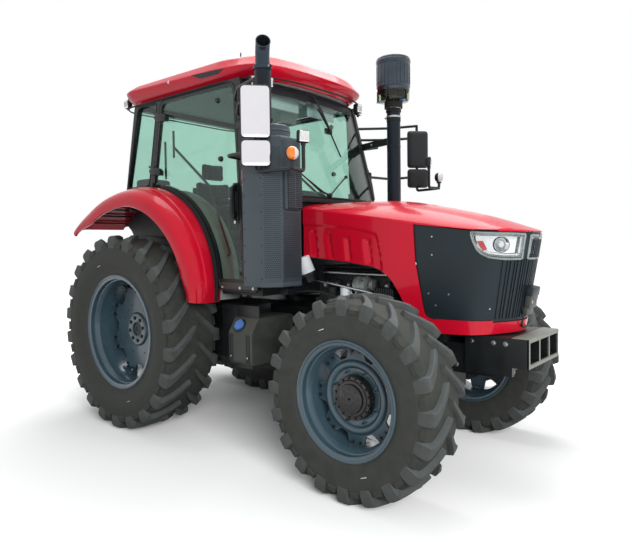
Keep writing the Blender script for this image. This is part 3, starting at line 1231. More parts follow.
def make_cushions():
    """The driver's seat: cushion, backrest and headrest in dark cloth."""
    a = spread("seat_cushion")
    cushion("seat_cushion_pad", ("seat_cushion",), (a[0] + 14, a[2] + 14, a[4] + 8),
        (a[1] - 14, a[3] - 14, a[5] - 22), 38, ((1, -150, 9), (1, 150, 9), (0, 250, 6), (0, 400, 6)))
    b = spread("seat_back")
    cushion("seat_backrest_pad", ("seat_back",), (b[0] + 14, b[2] + 14, b[4] + 50),
        (b[1] - 16, b[3] - 14, b[5] - 196), 34, ((1, -130, 8), (1, 130, 8), (2, 1850, 6), (2, 1980, 6)))
    cushion("seat_headrest_pad", ("seat_back",), (b[0] + 22, -130, b[5] - 176), (b[1] - 22, 130, b[5] - 14),
        28, ((1, -80, 5), (1, 80, 5)))


# ---- exhaust and intake
def eight_sided(inset):
    """The shroud's section: a square with its corners cut, drawn in by that much and rounded off."""
    half, flat = 195 - inset, 100 - 0.414 * inset
    corners = [Vector((x * a, y * b, 0)) for x, y, a, b in ((1, 1, half, flat), (1, 1, flat, half),
        (-1, 1, flat, half), (-1, 1, half, flat), (-1, -1, half, flat), (-1, -1, flat, half),
        (1, -1, flat, half), (1, -1, half, flat))]
    return softened([corners[-1], *corners, corners[0]], 9, 2)[1:-1]


def make_shroud():
    """Eight-sided perforated shroud round the exhaust pipe, with its cap, screws and slatted vent box."""
    x0, x1, y0, y1, z0, z1 = spread("exhaust_shroud")
    centre = upright(x0 + 195, (y0 + y1) / 2, 0)
    low, high = z0, z1 - 95
    made = Maker("heat_lacquer", "black_plastic", "zinc_steel", "stack_lacquer")
    rings = ((low + 2, 12), (low, 4), (low + 4, 0), (low + 30, 0), (low + 33, 2), (low + 37, 2),
        (low + 40, 0), (high - 34, 0), (high - 12, 2), (high - 3, 9), (high, 22))
    rows = [[(p.x, p.y, z) for p in eight_sided(inset_by)] for z, inset_by in rings]
    made.skin(rows, ring=True, place=centre)
    made.skin([rows[-1], [(p.x * 0.7, p.y * 0.7, high) for p in eight_sided(22)]], ring=True, place=centre)
    made.spin([(168, high), (150, high + 4), (142, high + 14), (140, z1 - 24), (136, z1 - 8), (128, z1 - 1),
        (118, z1), (104, z1 - 1)], centre, 48)
    made.spin([(141, high + 44), (144, high + 47), (144, high + 55), (141, high + 58)], centre, 48)
    pitch, hole = 16.0, 5.2
    for turn, face_at, half in ((-45, 209, 56), (0, 195, 86), (45, 209, 56), (90, 195, 86)):
        facet = moved(turned(centre, turn), face_at)
        for row in range(int((high - low - 130) / (pitch * 0.866))):
            z = low + 70 + row * pitch * 0.866
            for column in range(-6, 7):
                y = column * pitch + (pitch / 2 if row % 2 else 0)
                if abs(y) > half or (turn == 0 and 1846 < z < 2162):
                    continue
                spot = moved(facet, 0.4, y, z)
                turns = [radians(72 * k) for k in range(5)]
                made.flat([(0, hole * cos(a), hole * sin(a)) for a in turns], 1, spot)
    for turn in (-90, 180, 90):
        facet = moved(turned(centre, turn), 195)
        for n in range(9):
            for y in (-84, 84):
                spot = moved(facet, 0, y, low + 60 + (high - low - 120) * n / 8)
                made.spin([(0, 3), (5, 2), (6, -1)], turned(spot, 90, "Y"), 10, 3)
    y = (y0 + y1) / 2
    made.block(x1 - 48, x1 - 6, y - 82, y + 82, 1860, 2150, 14, steps=3)
    made.block(x1 - 14, x1 - 4, y - 76, y + 76, 1868, 2142, 4, 1)
    for n in range(20):
        z = 1876 + 13.2 * n
        for low_y, high_y in ((-70, -4), (4, 70)):
            made.block(x1 - 7, x1, y + low_y, y + high_y, z, z + 6.5, 1.6)
    made.block(x1 - 7, x1, y - 4, y + 4, 1870, 2140, 1.5)
    made.done("exhaust_shroud_panels", "exhaust_black", ("exhaust_shroud",), weld=0.01, tidy_normals=False)


def make_exhaust():
    """Exhaust pipe with its clamps and its mouth bent outwards and ahead."""
    x0, _, _, y1, _, _ = spread("exhaust_pipe")
    x, y = x0 + 62, y1 - 62
    made = Maker("stack_lacquer", "black_rubber", "zinc_steel", "blued_lacquer")
    made.tube([(x, y, 2400), (x, y, 2860), (x, y, 2884), (x, y, 2892)], [60, 60, 60, 53], 0, 40, False)
    bend = flow([(x, y, 2880), (x, y, 2940), (x + 2, y - 2, 2985), (x + 12, y - 10, 3022),
        (x + 32, y - 27, 3047), (x + 58, y - 49, 3060)], 5)
    made.tube(bend, 52, 3, 40, False)
    made.tube([p + (bend[-1] - p) * 0.02 for p in bend[-14:]], 47, 1, 40, False)
    floor = [(47 * cos(pi * k / 12), 47 * sin(pi * k / 12), 0) for k in range(24)]
    made.flat(floor, 1, facing(bend[-14], bend[-14] - bend[-13]))
    made.spin([(52, -4), (54, -2), (52, 1), (47, 1), (47, -6)], facing(bend[-1], bend[-1] - bend[-2]), 40, 3)
    for z, extra in ((2890, 8), (2510, 4)):
        made.spin([(59, -14), (61 + extra, -12), (61 + extra, 12), (59, 14)], upright(x, y, z), 40, 3)
        made.block(x + 58, x + 84, y - 12, y + 12, z - 12, z + 12, 3)
        made.bolt(facing((x + 72, y - 12, z), (0, -1, 0)), 7, 7, 2)
    made.done("exhaust_outlet", "exhaust_black", ("exhaust_pipe",), tidy_normals=False)


def make_intake():
    """Air intake stack with its clamps and bracket, and the cyclone pre-cleaner on top."""
    x0, x1, y0, y1, z0, z1 = spread("intake_stack")
    x, y, r = (x0 + x1) / 2, y1 - (x1 - x0) / 2, (x1 - x0) / 2 - 1.5
    made = Maker("stack_lacquer", "black_rubber", "zinc_steel", "black_powder_coat")
    turn = softened([(x, y0 + 2, 1400), (x, y, 1400), (x, y, z1)], 66, 8)
    made.tube(turn, r, 0, 40)
    for z in (1960, 2470, 2478):
        made.spin([(r, -5), (r + 1.8, -3), (r + 1.8, 3), (r, 5)], upright(x, y, z), 40)
    for z, tall, grow in ((z1 - 12, 12, 7), (z1 - 66, 9, 5), (z1 - 92, 14, 3)):
        made.spin([(r, -tall), (r + grow, -tall + 1), (r + grow, tall - 1), (r, tall)], upright(x, y, z),
            40, 2 if grow == 5 else 1)
    made.block(x - r - 26, x - r + 6, y - 14, y + 14, z1 - 74, z1 - 58, 3, 2)
    bracket = [(1330, 758), (1330, 772), (x + 10, y + r + 4), (x + 10, y + r - 10)]
    made.plate(bracket, 2516, 2580, 2, 3)
    for n in (0.14, 0.4, 0.86):
        made.bolt(facing((1330 + (x + 10 - 1330) * n, 764 + (y + r - 764) * n - 8, 2548), (-0.3, -1, 0)), 8,
            7, 2)
    made.done("intake_pipe", "exhaust_black", ("intake_stack",))

    x0, x1, y0, y1, z0, z1 = spread("precleaner")
    at = upright((x0 + x1) / 2, (y0 + y1) / 2, z0)
    big, tall = (x1 - x0) / 2, z1 - z0
    made = Maker("smoked_polycarbonate", "dusty_polycarbonate", "black_rubber", "blue_polyethylene",
        "zinc_steel", "black_plastic")
    bowl = [(big - 20, 150), (big - 12, 160), (big - 9, 186), (big - 5, 190), (big - 5, 202),
        (big - 9, 206), (big - 8, tall - 70), (big - 4, tall - 66), (big - 4, tall - 56),
        (big - 1, tall - 52), (big - 1, tall - 34), (big - 5, tall - 30), (big - 6, tall - 18),
        (big - 14, tall - 8), (big - 40, tall - 2), (0, tall)]
    made.spin(bowl, at, 72)
    for place in around(at, 24, big - 9):
        made.block(-3, 4, -5, 5, 210, tall - 74, 2, 0, place)
    lower = [(big - 44, 62), (big - 24, 66), (big - 14, 82), (big - 9, 160)]
    made.spin(lower, at, 72, 1)
    core = [(80, 10), (80, 60), (104, 96), (118, 150), (big - 22, 158)]
    made.spin(core, at, 48, 2)
    made.spin([(big - 46, 64), (78, 58), (76, 40), (62, 36)], at, 48, 1)
    neck = [(62, 0), (66, 4), (66, 18), (62, 22), (62, 30), (72, 34), (76, 50)]
    made.spin(neck, at, 40, 5)
    made.spin([(66, 6), (68, 8), (68, 16), (66, 18)], at, 40, 4)
    for place in around(at, 3, big - 26, -8):
        made.block(-36, 20, -34, 34, 56, 66, 4, 3, place)
        made.block(8, 24, -8, 8, 60, 150, 3, 5, place)
    for place in around(at, 12, 96):
        made.block(-14, 14, -2, 2, 84, 150, 1, 0, place)
    made.done("precleaner_bowl", "smoked_plastic", ("precleaner",), tidy_normals=False)


# ---- mirrors and lamps
MIRROR_X, MIRROR_Y, MIRROR_TURN = 1822.0, 1095.0, -42.0
SIGNAL = Vector((2097, 1027, 2227))
ARM_LAMP = Vector((2071, 881, 2360))


def make_mirrors():
    """Tubes from the front pillars with their brackets, and the mirror heads with their glass."""
    made = Maker("black_powder_coat", "black_plastic", "zinc_steel")
    x, y, low = MIRROR_X, MIRROR_Y, 2125
    for foot, z, bend in ((1296, 2755, (1560, 1010)), (1333, 2640, (1560, 1010)), (1472, 2262, (1520, 1095))):
        way = [(foot, -768, z), (foot, -808, z), (bend[0], -bend[1], z), (x, -y, z)]
        made.pipe(way, 60, 13)
        made.block(foot - 20, foot + 20, -764, -800, z - 44, z + 44, 8, 1)
    made.tube([(1580, -1016, 2757), (1580, -1016, 2638)], 11)
    made.block(1318, 1560, -806, -812, 2528, 2572, 2)
    post = [(x, -y, 2762), (x, -y, low), (SIGNAL.x, -SIGNAL.y, low), (SIGNAL.x, -SIGNAL.y, SIGNAL.z - 40)]
    made.pipe(post, 30, 13)
    made.pipe([(SIGNAL.x, -SIGNAL.y, low), (ARM_LAMP.x, -ARM_LAMP.y, low), (ARM_LAMP.x, -ARM_LAMP.y,
        ARM_LAMP.z - 50)], 24, 13)
    for z in (2430, 2610, 2240):
        made.block(x - 16, x + 20, -y - 18, -y + 18, z - 26, z + 26, 8, 1)
    made.mirror()
    grip = [(1327, 770, 2425), (1330, 800, 2424), (1434, 800, 2356), (1480, 800, 2215), (1514, 800, 2038),
        (1512, 770, 2030)]
    made.pipe(grip, 40, 11)
    made.done("mirror_arm_tubes", "mirror_black", ("mirror_arms",))

    made = Maker("black_plastic", "mirror_glass", "black_rubber")
    yaw = radians(MIRROR_TURN)
    for side in (-1, 1):
        for low, high in ((2342, 2702), (2150, 2334)):
            half, tall, deep = 104, (high - low) / 2, 22
            centre = Vector((MIRROR_X + 36 * cos(yaw), side * MIRROR_Y + 36 * sin(yaw), (low + high) / 2))
            way = Vector((cos(yaw), sin(yaw), 0))
            place = facing(centre, way if side < 0 else -way)

            def ring(grow, h):
                """A rounded outline of the head at a depth."""
                w, t = half + grow, tall + grow
                corners = [(t, -w), (t, w), (-t, w), (-t, -w)]
                loop = softened([Vector((*p, 0)) for p in [*corners, *corners[:2]]], 34 + grow * 0.4, 6)[1:-1]
                return [(p.x, p.y, h) for p in loop]

            rows = [ring(-60, -deep + 1), ring(-34, -deep + 4), ring(-16, -deep + 10), ring(-4, -deep + 20),
                ring(0, deep - 10), ring(-1, deep - 4), ring(-4, deep - 1), ring(-7, deep - 3)]
            made.skin(rows, ring=True, place=place)
            made.flat(rows[0][::-1], 0, place)
            glass = [ring(-7, deep - 3), ring(-9, deep - 1.5), ring(-40, deep - 0.5), ring(-85, deep)]
            made.skin(glass, 1, ring=True, place=place)
            made.flat(glass[-1], 1, place)
    made.done("mirror_heads_with_glass", "mirror_black", ("mirror_heads",), weld=0.05)


def work_lamp(made, x, y, z, ahead, size=88.0):
    """A square work lamp on its bracket, shining that way in plan."""
    place = facing((x, y, z), (*ahead, -0.06))
    h = size / 2
    made.block(-h, h, -h, h, -26, 20, 14, 0, place, 3)
    made.block(-h + 7, h - 7, -h + 7, h - 7, 16, 25, 5, 2, place)
    made.block(-h + 17, h - 17, -h + 15, h - 15, 22, 28, 4, 1, place, 3)
    for k in range(-2, 3):
        made.block(-h + 8, h - 8, 14 * k - 2, 14 * k + 2, -34, -22, 1.5, 0, place)
    made.block(-h - 16, -h + 4, -14, 14, -12, 6, 4, 0, place)


def make_lamps():
    """Work lamps under the roof and on the mirror brackets, and the side and turn lamps."""
    made = Maker("black_plastic", "white_lens", "chromed_plastic", "zinc_steel")
    work_lamp(made, ARM_LAMP.x, -ARM_LAMP.y, ARM_LAMP.z, (1, -0.45))
    work_lamp(made, 1472, -605, 2896, (1, 0), 84)
    work_lamp(made, 1412, -695, 2896, (1, -0.3), 84)
    work_lamp(made, -418, -655, 3018, (-0.1, -1), 84)
    made.block(ARM_LAMP.x - 14, ARM_LAMP.x + 14, -ARM_LAMP.y - 13, -ARM_LAMP.y + 13, 2296, 2320, 5)
    made.mirror()
    made.done("work_lamp_units", "lamp_lens", ("work_lamps",))
    x0, x1, _, _, z0, z1 = spread("turn_lamps")
    made = Maker("black_plastic", "amber_acrylic", "white_lens")
    place = facing(((x0 + x1) / 2, -SIGNAL.y, (z0 + z1) / 2), (1, -0.22, 0))
    made.spin([(0, -38), (30, -34), (42, -20), (45, -6), (47, -4), (47, 4)], place, 40)
    ring = [(47, 2), (46, 12), (40, 24), (26, 33), (0, 37)]
    for finish, start in ((1, 0), (2, 180)):
        turns = [radians(start + 10 * n) for n in range(19)]
        made.skin([[(r * cos(a), r * sin(a), h) for r, h in ring] for a in turns], finish, place=place)
    made.block(SIGNAL.x - 18, SIGNAL.x + 18, -SIGNAL.y - 20, -SIGNAL.y + 20, 2172, 2184, 4)
    made.mirror()
    made.done("side_lamps", "amber_lens", ("turn_lamps",), tidy_normals=False)
    made = Maker("black_plastic", "red_acrylic", "amber_acrylic", "white_lens")
    for side in (-1, 1):
        lamp = upright(-352, side * 620, 2010)
        made.block(-40, 6, -70, 70, -44, 44, 10, 0, lamp)
        made.block(-48, -38, -62, -2, -36, 36, 5, 1, lamp)
        made.block(-48, -38, 2, 62, -36, 36, 5, 2, lamp)
    made.done("tail_lamps", "amber_lens")


# ---- under the cab and hood
def make_tank():
    """Fuel tank on the right and battery box on the left, with filler, straps and cover plate."""
    for side, name, node in ((-1, "fuel_tank_body", "fuel_tank"), (1, "battery_box_body", "battery_box")):
        x0, x1, _, _, z0, _ = spread(node)
        step = x0 + 255
        made = Maker("grey_powder_coat", "black_plastic", "blue_polyethylene", "zinc_steel",
            "black_powder_coat")
        section = [(z0, 302), (z0, 764), (z0 + 16, 780), (915, 780), (1036, 702), (1034, 302)]
        made.plate([(z, side * -y) for z, y in section], step, x1, 9, 0, facing((0, 0, 0), (1, 0, 0)), 16)
        made.block(x0, step + 20, side * 302, side * 630, z0, 1118, 14, 4)
        made.block(step + 12, x1, side * 690, side * 699, 1030, 1130, 4, 4)
        filler = facing((step + 100, side * 744, 968), (0, side * 0.83, 0.56))
        if side < 0:
            made.spin([(58, -14), (58, 4), (52, 9), (44, 9)], filler, 32, 1)
            made.spin([(44, 6), (44, 24), (40, 29), (14, 31), (0, 31)], filler, 24, 2)
            for place in around(filler, 6, 43):
                made.block(-6, 4, -8, 8, 10, 26, 3, 2, place)
        else:
            made.spin([(30, -8), (30, 4), (26, 8), (0, 8)], filler, 24, 1)
        for x in (step + 30, x1 - 50):
            made.block(x - 20, x + 20, side * 776, side * 784, z0 + 14, 905, 2, 4)
            made.bolt(outward(x, side * 782, z0 + 60), 8, 7, 3)
        made.block(step + 20, x1 - 40, side * 330, side * 740, z0 - 40, z0 + 6, 6, 4)
        made.done(name, "black_paint", (node,))


def make_engine_dress():
    """Parts fixed to the engine that show under the hood's edge, and the radiator's surround."""
    made = Maker("painted_casting", "white_polyethylene", "black_plastic", "machined_steel", "zinc_steel",
        "black_rubber", "cast_light")
    y = -205
    made.block(1700, 2440, -150, -232, 1240, 1420, 22)
    made.block(1690, 2460, -196, -216, 660, 700, 6)
    for n in range(6):
        x = 1750 + 118 * n
        made.block(x - 34, x + 34, -214, -262, 1250, 1330, 14)
        made.bolt(outward(x, -262, 1290), 11, 8, 4)
        made.bolt(facing((x + 50, y - 10, 1190), (0, -1, 0)), 9, 8, 4)
        made.block(x - 8, x + 8, -204, -222, 720, 1180, 5)
    made.tube([(1740, -278, 1392), (2400, -278, 1382)], 14, 3)
    made.mirror()
    for x, y, z, r, tall, lean, body in ((1690, -395, 1378, 58, 150, (-0.25, -0.3, 1), 1),
            (1850, -290, 1130, 46, 150, (0, 0, 1), 0), (1980, -290, 1130, 46, 150, (0, 0, 1), 1)):
        can = facing((x, y, z), lean)
        made.spin([(0, -8), (r * 0.8, -8), (r, 4), (r, tall - 16), (r * 0.92, tall - 4), (r * 0.5, tall),
            (0, tall)], can, 32, body)
        made.spin([(r * 0.7, -60), (r * 0.74, -10), (r * 1.06, -6), (r * 1.06, 14), (r, 16)], can, 32, 2)
    alternator = facing((2130, -270, 1300), (1, 0, 0))
    made.spin([(0, -70), (52, -66), (66, -54), (68, -20), (62, -16), (62, 16), (68, 20), (66, 52), (46, 64),
        (20, 66), (20, 78), (44, 80), (46, 86), (40, 92), (40, 98), (46, 104), (44, 110), (0, 110)],
        alternator, 36, 6)
    for place in around(alternator, 12, 60):
        made.block(-4, 10, -4, 4, 24, 50, 2, 3, place)
    for n in range(8):
        made.block(2290 + 20 * n, 2302 + 20 * n, -360, -250, 1180, 1290, 3, 2)
    made.block(2284, 2452, -352, -250, 1190, 1280, 6, 2)
    pump = facing((2060, -230, 1120), (0, -1, 0.2))
    made.spin([(0, 70), (34, 66), (40, 40), (56, 36), (60, 0), (60, -30)], pump, 28, 6)
    for k in range(4):
        made.pipe([(2040 + 14 * k, -300, 1150), (2030 + 30 * k, -318, 1240), (1900 + 110 * k, -300, 1300),
            (1900 + 110 * k, -262, 1340)], 30, 4, 4, 8)
    made.pipe([(1640, -300, 1330), (1900, -330, 1300), (2250, -330, 1250), (2380, -320, 1180)], 60, 9, 4, 10)
    made.pipe([(1560, -420, 1235), (1780, -400, 1250), (1960, -330, 1190)], 60, 8, 2, 10)
    fan = facing((2640, 0, 1280), (-1, 0, 0))
    made.spin([(250, -20), (262, -20), (268, 40), (262, 44), (250, 40)], fan, 48, 2, closed=True)
    blade = [[(60, -26, 10), (60, 26, 34)], [(160, -40, 6), (160, 40, 30)], [(240, -46, 4), (240, 38, 24)]]
    for place in around(fan, 7, 0):
        made.skin(blade, 2, place=place)
    made.spin([(0, 44), (50, 40), (70, 24), (70, 0), (0, 0)], fan, 28, 3)
    x0, x1, _, _, z0, z1 = spread("radiator")
    for way in (-1, 1):
        made.block(x0 - 10, x1 + 10, way * 276, way * 300, z0, z1, 5, 2)
    for z in (z0, z1 - 40):
        made.block(x0 - 12, x1 + 12, -296, 296, z, z + 48, 8, 2)
    for n in range(40):
        y = -268 + 13.7 * n
        made.block(x1 - 1, x1 + 4, y, y + 3, z0 + 50, z1 - 44, 0.8, 3)
    made.block(1500, 2450, -330, 330, 1500, 1512, 4, 2)
    made.done("engine_fittings", "cast_grey", tidy_normals=False)


def make_front_end():
    """Edges, bolts and face of the front frame and weight carrier, and the axle's covers."""
    made = Maker("grey_primer", "zinc_steel", "black_powder_coat", "painted_casting", "machined_steel")
    _, face, y0, y1, z0, z1 = spread("weight_carrier")
    low = 812.0
    for x in (3030, 3180, 3260):
        made.bolt(outward(x, -(y1 + 1), 960), 11, 9, 1)
    for x, z in ((1960, 900), (2080, 900), (2250, 890), (2820, 880), (2900, 780)):
        made.bolt(outward(x, -251, z), 12, 10, 1)
    made.block(face - 260, face - 118, -200, -284, z0 + 4, z0 + 56, 8)
    made.block(face - 236, face - 226, -236, -288, z0 + 10, 812, 3)
    ram = outward(2400, -300, 690)
    made.spin([(34, -120), (34, 60), (30, 66), (16, 68), (16, 230)], ram, 24, 4)
    made.mirror()
    for z in (low, z1 - 24):
        made.block(face - 14, face + 3, y0, y1, z, z + 24, 3)
    for n in range(4):
        y = y0 + (y1 - y0 - 22) * n / 3
        made.block(face - 13, face + 2, y, y + 22, low + 8, z1 - 8, 3)
    made.block(face - 112, face + 1, y0 + 1, y1 - 1, z1 - 3, z1 + 4, 3)
    made.block(2560, 2700, -120, 120, 490, 500, 10, 3)
    cover = facing((2530, 0, 640), (1, 0, 0))
    for place in around(cover, 10, 128):
        made.bolt(moved(place, 0, 0, 128), 9, 8, 1)
    made.spin([(0, 136), (60, 134), (110, 124), (142, 104), (150, 60), (150, 20)], cover, 40, 3)
    made.done("front_end_fittings", "black_paint")


def make_rear_end():
    """Hydraulic couplers, shaft guard, plate holder and step edges at the back and the left side."""
    made = Maker("black_powder_coat", "zinc_steel", "black_plastic", "painted_casting", "red_acrylic")
    for y in (-150, 134):
        made.block(-452, -414, y, y + 16, 560, 760, 4)
    made.block(-452, -414, -150, 150, 748, 764, 4)
    made.block(-396, -328, -170, 170, 1078, 1150, 8, 3)
    for n in range(6):
        y = -140 + 56 * n
        made.spin([(18, 0), (18, 22), (14, 26), (14, 44), (20, 46), (20, 58), (10, 60), (0, 60)],
            facing((-390, y, 1116), (-1, 0, 0)), 24, 1)
        made.spin([(0, 66), (16, 65), (18, 58)], facing((-392, y, 1116), (-1, 0, 0)), 20, 4 if n % 2 else 2)
    made.block(-412, -404, -190, 190, 1270, 1400, 3, 2)
    made.block(-410, -330, -20, 20, 1320, 1350, 4)
    cover = facing((-421, 0, 640), (-1, 0, 0))
    for place in around(cover, 8, 84):
        made.bolt(place, 10, 9, 1)
    made.spin([(0, 4), (40, 4), (62, 2), (96, 0), (100, -2)], cover, 40, 3)
    x0, x1, y0, y1, _, _ = spread("cab_steps")
    for n in range(3):
        z = 500 + 250 * n
        for k in range(6):
            y = y0 + 12 + 24 * k
            if y + 4 < y1 - 30 * n - 8:
                made.block(x0 + 12, x1 - 12, y, y + 4, z, z + 5, 1.5, 1)
    for way in (-1, 1):
        for place in around(outward(0, way * 560, 849), 12, 150):
            made.bolt(moved(place, 0, 0, -238), 12, 10, 1)
    made.done("rear_fittings", "black_paint")


# ---- finishes of the frame's own pieces
CARRIED_OVER = {
    "black_powder_coat": ("front_frame", "weight_carrier", "cab_frame", "cab_steps", "door_right",
                          "door_left", "drawbar", "lower_links", "lift_rods", "top_link"),
    "painted_casting": ("engine_block", "gearbox_housing", "rear_axle_housing", "front_axle_beam",
                        "lift_arms", "knuckle_right", "knuckle_left"),
    "black_plastic": ("radiator", "cab_floor", "front_bulkhead", "rear_bulkhead"),
    "dash_moulding": ("dash_console", "steering_wheel"),
    "machined_steel": ("pto_shaft",),
    "green_tinted_glass": ("windscreen", "rear_window", "quarter_windows", "door_glass_right",
                           "door_glass_left"),
}


def finish_frame_pieces():
    """Gives the frame's own visible pieces their finishes."""
    for finish, nodes in CARRIED_OVER.items():
        for node in nodes:
            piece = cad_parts[node]
            for slot in piece.material_slots:
                slot.material = finish_named(finish)
            if not piece.material_slots:
                piece.data.materials.append(finish_named(finish))
            piece.visible_shadow = finish != "green_tinted_glass"


# ---- stage
# the camera's place in metres, its turns in degrees, its focal length in millimetres, and the frame's offset
CAMERA_PLACE = (3.5165, -3.8937, 1.6508)
CAMERA_YAW, CAMERA_PITCH, CAMERA_ROLL = 39.678, 2.071, -0.727
CAMERA_LENS, CAMERA_SHIFT = 32.82, (-0.0037, -0.0117)


def shown_plain(tree, lit, plain):
    """Mixes a plain look, for camera, mirror and glass rays, over how a surface or sky lights the object."""
    rays = add(tree, "LightPath").outputs
    seen = add(tree, "Math", {"operation": "MAXIMUM"}, {0: rays["Is Camera Ray"], 1: rays["Is Glossy Ray"]})
    seen = add(tree, "Math", {"operation": "MAXIMUM"}, {0: seen.outputs[0], 1: rays["Is Transmission Ray"]})
    return add(tree, "MixShader", links={0: seen.outputs[0], 1: lit, 2: plain}).outputs[0]


def make_floor(look):
    """A wide pale floor that runs into the white behind, and keeps the tractor's shadow."""
    made = bmesh.new()
    bmesh.ops.create_circle(made, cap_ends=True, segments=64, radius=look.floor_radius)
    data = bpy.data.meshes.new("studio_floor")
    made.to_mesh(data)
    made.free()
    floor = bpy.data.objects.new("studio_floor", data)
    bpy.context.scene.collection.objects.link(floor)
    coat = bpy.data.materials.new("studio_paper")
    coat.use_nodes = True
    tree = coat.node_tree
    tree.nodes.remove(tree.nodes["Principled BSDF"])
    shade = add(tree, "BsdfDiffuse", {"Color": (0.45, 0.447, 0.444, 1), "Roughness": 1.0})
    paper = add(tree, "BsdfDiffuse", {"Color": (0.88, 0.877, 0.87, 1), "Roughness": 1.0})
    away = add(tree, "VectorMath", {"operation": "LENGTH"}, {0: add(tree, "TexCoord").outputs["Object"]})
    rise = add(tree, "MapRange", {"interpolation_type": "SMOOTHSTEP", 1: 1.7, 2: 5.2, 3: 0.0,
        4: look.floor_lift}, {0: away.outputs["Value"]})
    lift = add(tree, "Emission", {"Color": (1, 1, 1, 1)}, {"Strength": rise.outputs[0]})
    both = add(tree, "AddShader", links={0: paper.outputs[0], 1: lift.outputs[0]})
    shown = shown_plain(tree, shade.outputs[0], both.outputs[0])
    tree.links.new(shown, tree.nodes["Material Output"].inputs[0])
    data.materials.append(coat)


def make_sky(look):
    """White surroundings where they are seen or mirrored, and a softer light from them."""
    world = bpy.data.worlds.new("white_studio")
    bpy.context.scene.world = world
    world.use_nodes = True
    tree = world.node_tree
    soft = tree.nodes["Background"]
    soft.inputs["Color"].default_value = (0.93, 0.97, 1, 1)
    soft.inputs["Strength"].default_value = look.ambient
    white = add(tree, "Background", {"Color": (1, 1, 1, 1), "Strength": 1.0})
    shown = shown_plain(tree, soft.outputs[0], white.outputs[0])
    tree.links.new(shown, tree.nodes["World Output"].inputs[0])


def make_light(name, place, target, size, power, mirrored=True):
    """A soft lamp panel that points at a place, and is seen in what mirrors it or is not."""
    data = bpy.data.lights.new(name, "AREA")
    data.shape = "RECTANGLE"
    data.size, data.size_y = size
    data.energy = power
    lamp = bpy.data.objects.new(name, data)
    bpy.context.scene.collection.objects.link(lamp)
    lamp.location = place
    lamp.visible_camera = lamp.visible_transmission = False
    lamp.visible_glossy = mirrored
    lamp.rotation_euler = (Vector(target) - Vector(place)).to_track_quat("-Z", "Y").to_euler()


def make_camera():
    """The camera: standing ahead of the right front wheel, at chest height."""
    data = bpy.data.cameras.new("camera")
    data.lens = CAMERA_LENS
    data.shift_x, data.shift_y = CAMERA_SHIFT
    camera = bpy.data.objects.new("camera", data)
    bpy.context.scene.collection.objects.link(camera)
    level = turned(turned(upright(*CAMERA_PLACE), CAMERA_YAW), 90 - CAMERA_PITCH, "X")
    camera.matrix_world = turned(level, CAMERA_ROLL)
    bpy.context.scene.camera = camera


# ---- settings
def colour_setting(name, description, code):
    """A colour that a user may change."""
    return FloatVectorProperty(name=name, description=description, default=linear(code)[:3],
        subtype="COLOR", size=3, min=0.0, max=1.0)


class TractorSizes(PropertyGroup):
    """Sizes of the tractor's dress."""
    front_bars: IntProperty(name="Front tread bars", description="Bars on each side of a front tyre",
        default=20, min=12, max=30)
    rear_bars: IntProperty(name="Rear tread bars", description="Bars on each side of a rear tyre",
        default=22, min=12, max=34)
    front_bar_height: FloatProperty(name="Front bar height", description="Height of the front tyres' bars",
        default=0.038, min=0.01, max=0.07, unit="LENGTH")
    rear_bar_height: FloatProperty(name="Rear bar height", description="Height of the rear tyres' bars",
        default=0.043, min=0.01, max=0.07, unit="LENGTH")


class TractorColours(PropertyGroup):
    """Colours of the tractor's finishes."""
    body: colour_setting("Body paint", "Enamel of hood, fenders and roof", "CE0F2C")
    wheels: colour_setting("Wheel paint", "Enamel of rims and discs", "3A4F5A")
    panel: colour_setting("Dark panel", "Moulded panels of the hood's nose", "1C262B")
    cloth: colour_setting("Seat cloth", "Middle tone of the seat's cloth", "17242A")


class TractorStage(PropertyGroup):
    """The studio round the tractor."""
    floor_radius: FloatProperty(name="Floor radius", description="Reach of the floor", default=60.0,
        min=8.0, unit="LENGTH")
    floor_lift: FloatProperty(name="Floor lift", description="Light added to the floor where it is seen",
        default=0.7, min=0.0, max=1.0)
    ambient: FloatProperty(name="Ambient", description="Light that comes from all round", default=0.42,
        min=0.0, max=2.0)
    sky: FloatProperty(name="Sky power",
        description="Power of the wide panel behind, which the tops mirror", default=120.0, min=0.0,
        unit="POWER")
    key: FloatProperty(name="Key power", description="Power of the large lamp overhead", default=470.0,
        min=0.0, unit="POWER")
    fill: FloatProperty(name="Fill power", description="Power of the lamp beside the camera", default=460.0,
        min=0.0, unit="POWER")


# ---- operators
class MakeTyres(Operator):
    """Build the four tyres with their tread bars"""
    bl_idname = "tractor.tyres"
    bl_label = "Tyres"

    def execute(self, context):
        sizes = context.scene.tractor_sizes
        kinds = (("front", sizes.front_bars, sizes.front_bar_height, 165, 358, 176),
            ("rear", sizes.rear_bars, sizes.rear_bar_height, 206, 486, 203))
        for side, name in SIDES:
            for end, bars, height, lead, seat_r, seat_half in kinds:
                node = f"{end}_tyre_{name}"
                tyre = tyre_piece(node, side, bars, height / MM, lead, seat_r, seat_half)
                tyre.done(f"{end}_tyre_tread_{name}", "tyre_rubber", (node,), f"{end}_wheel_{name}", sharp=28)
        return {"FINISHED"}


class MakeWheels(Operator):
    """Build the rims, discs and planetary hubs"""
    bl_idname = "tractor.wheels"
    bl_label = "Rims and hubs"

    def execute(self, context):
        kinds = (("front", "rim", front_rim_piece, "wheel_disc", "wheel_paint"),
            ("front", "hub", front_hub_piece, "hub_cover", "black_paint"), ("rear", "rim", rear_rim_piece,
            "wheel_disc", "wheel_paint"))
        for side, name in SIDES:
            for end, part, build, piece, slot in kinds:
                node = f"{end}_{part}_{name}"
                build(node, side).done(f"{end}_{piece}_{name}", slot, (node,), f"{end}_wheel_{name}")
        return {"FINISHED"}


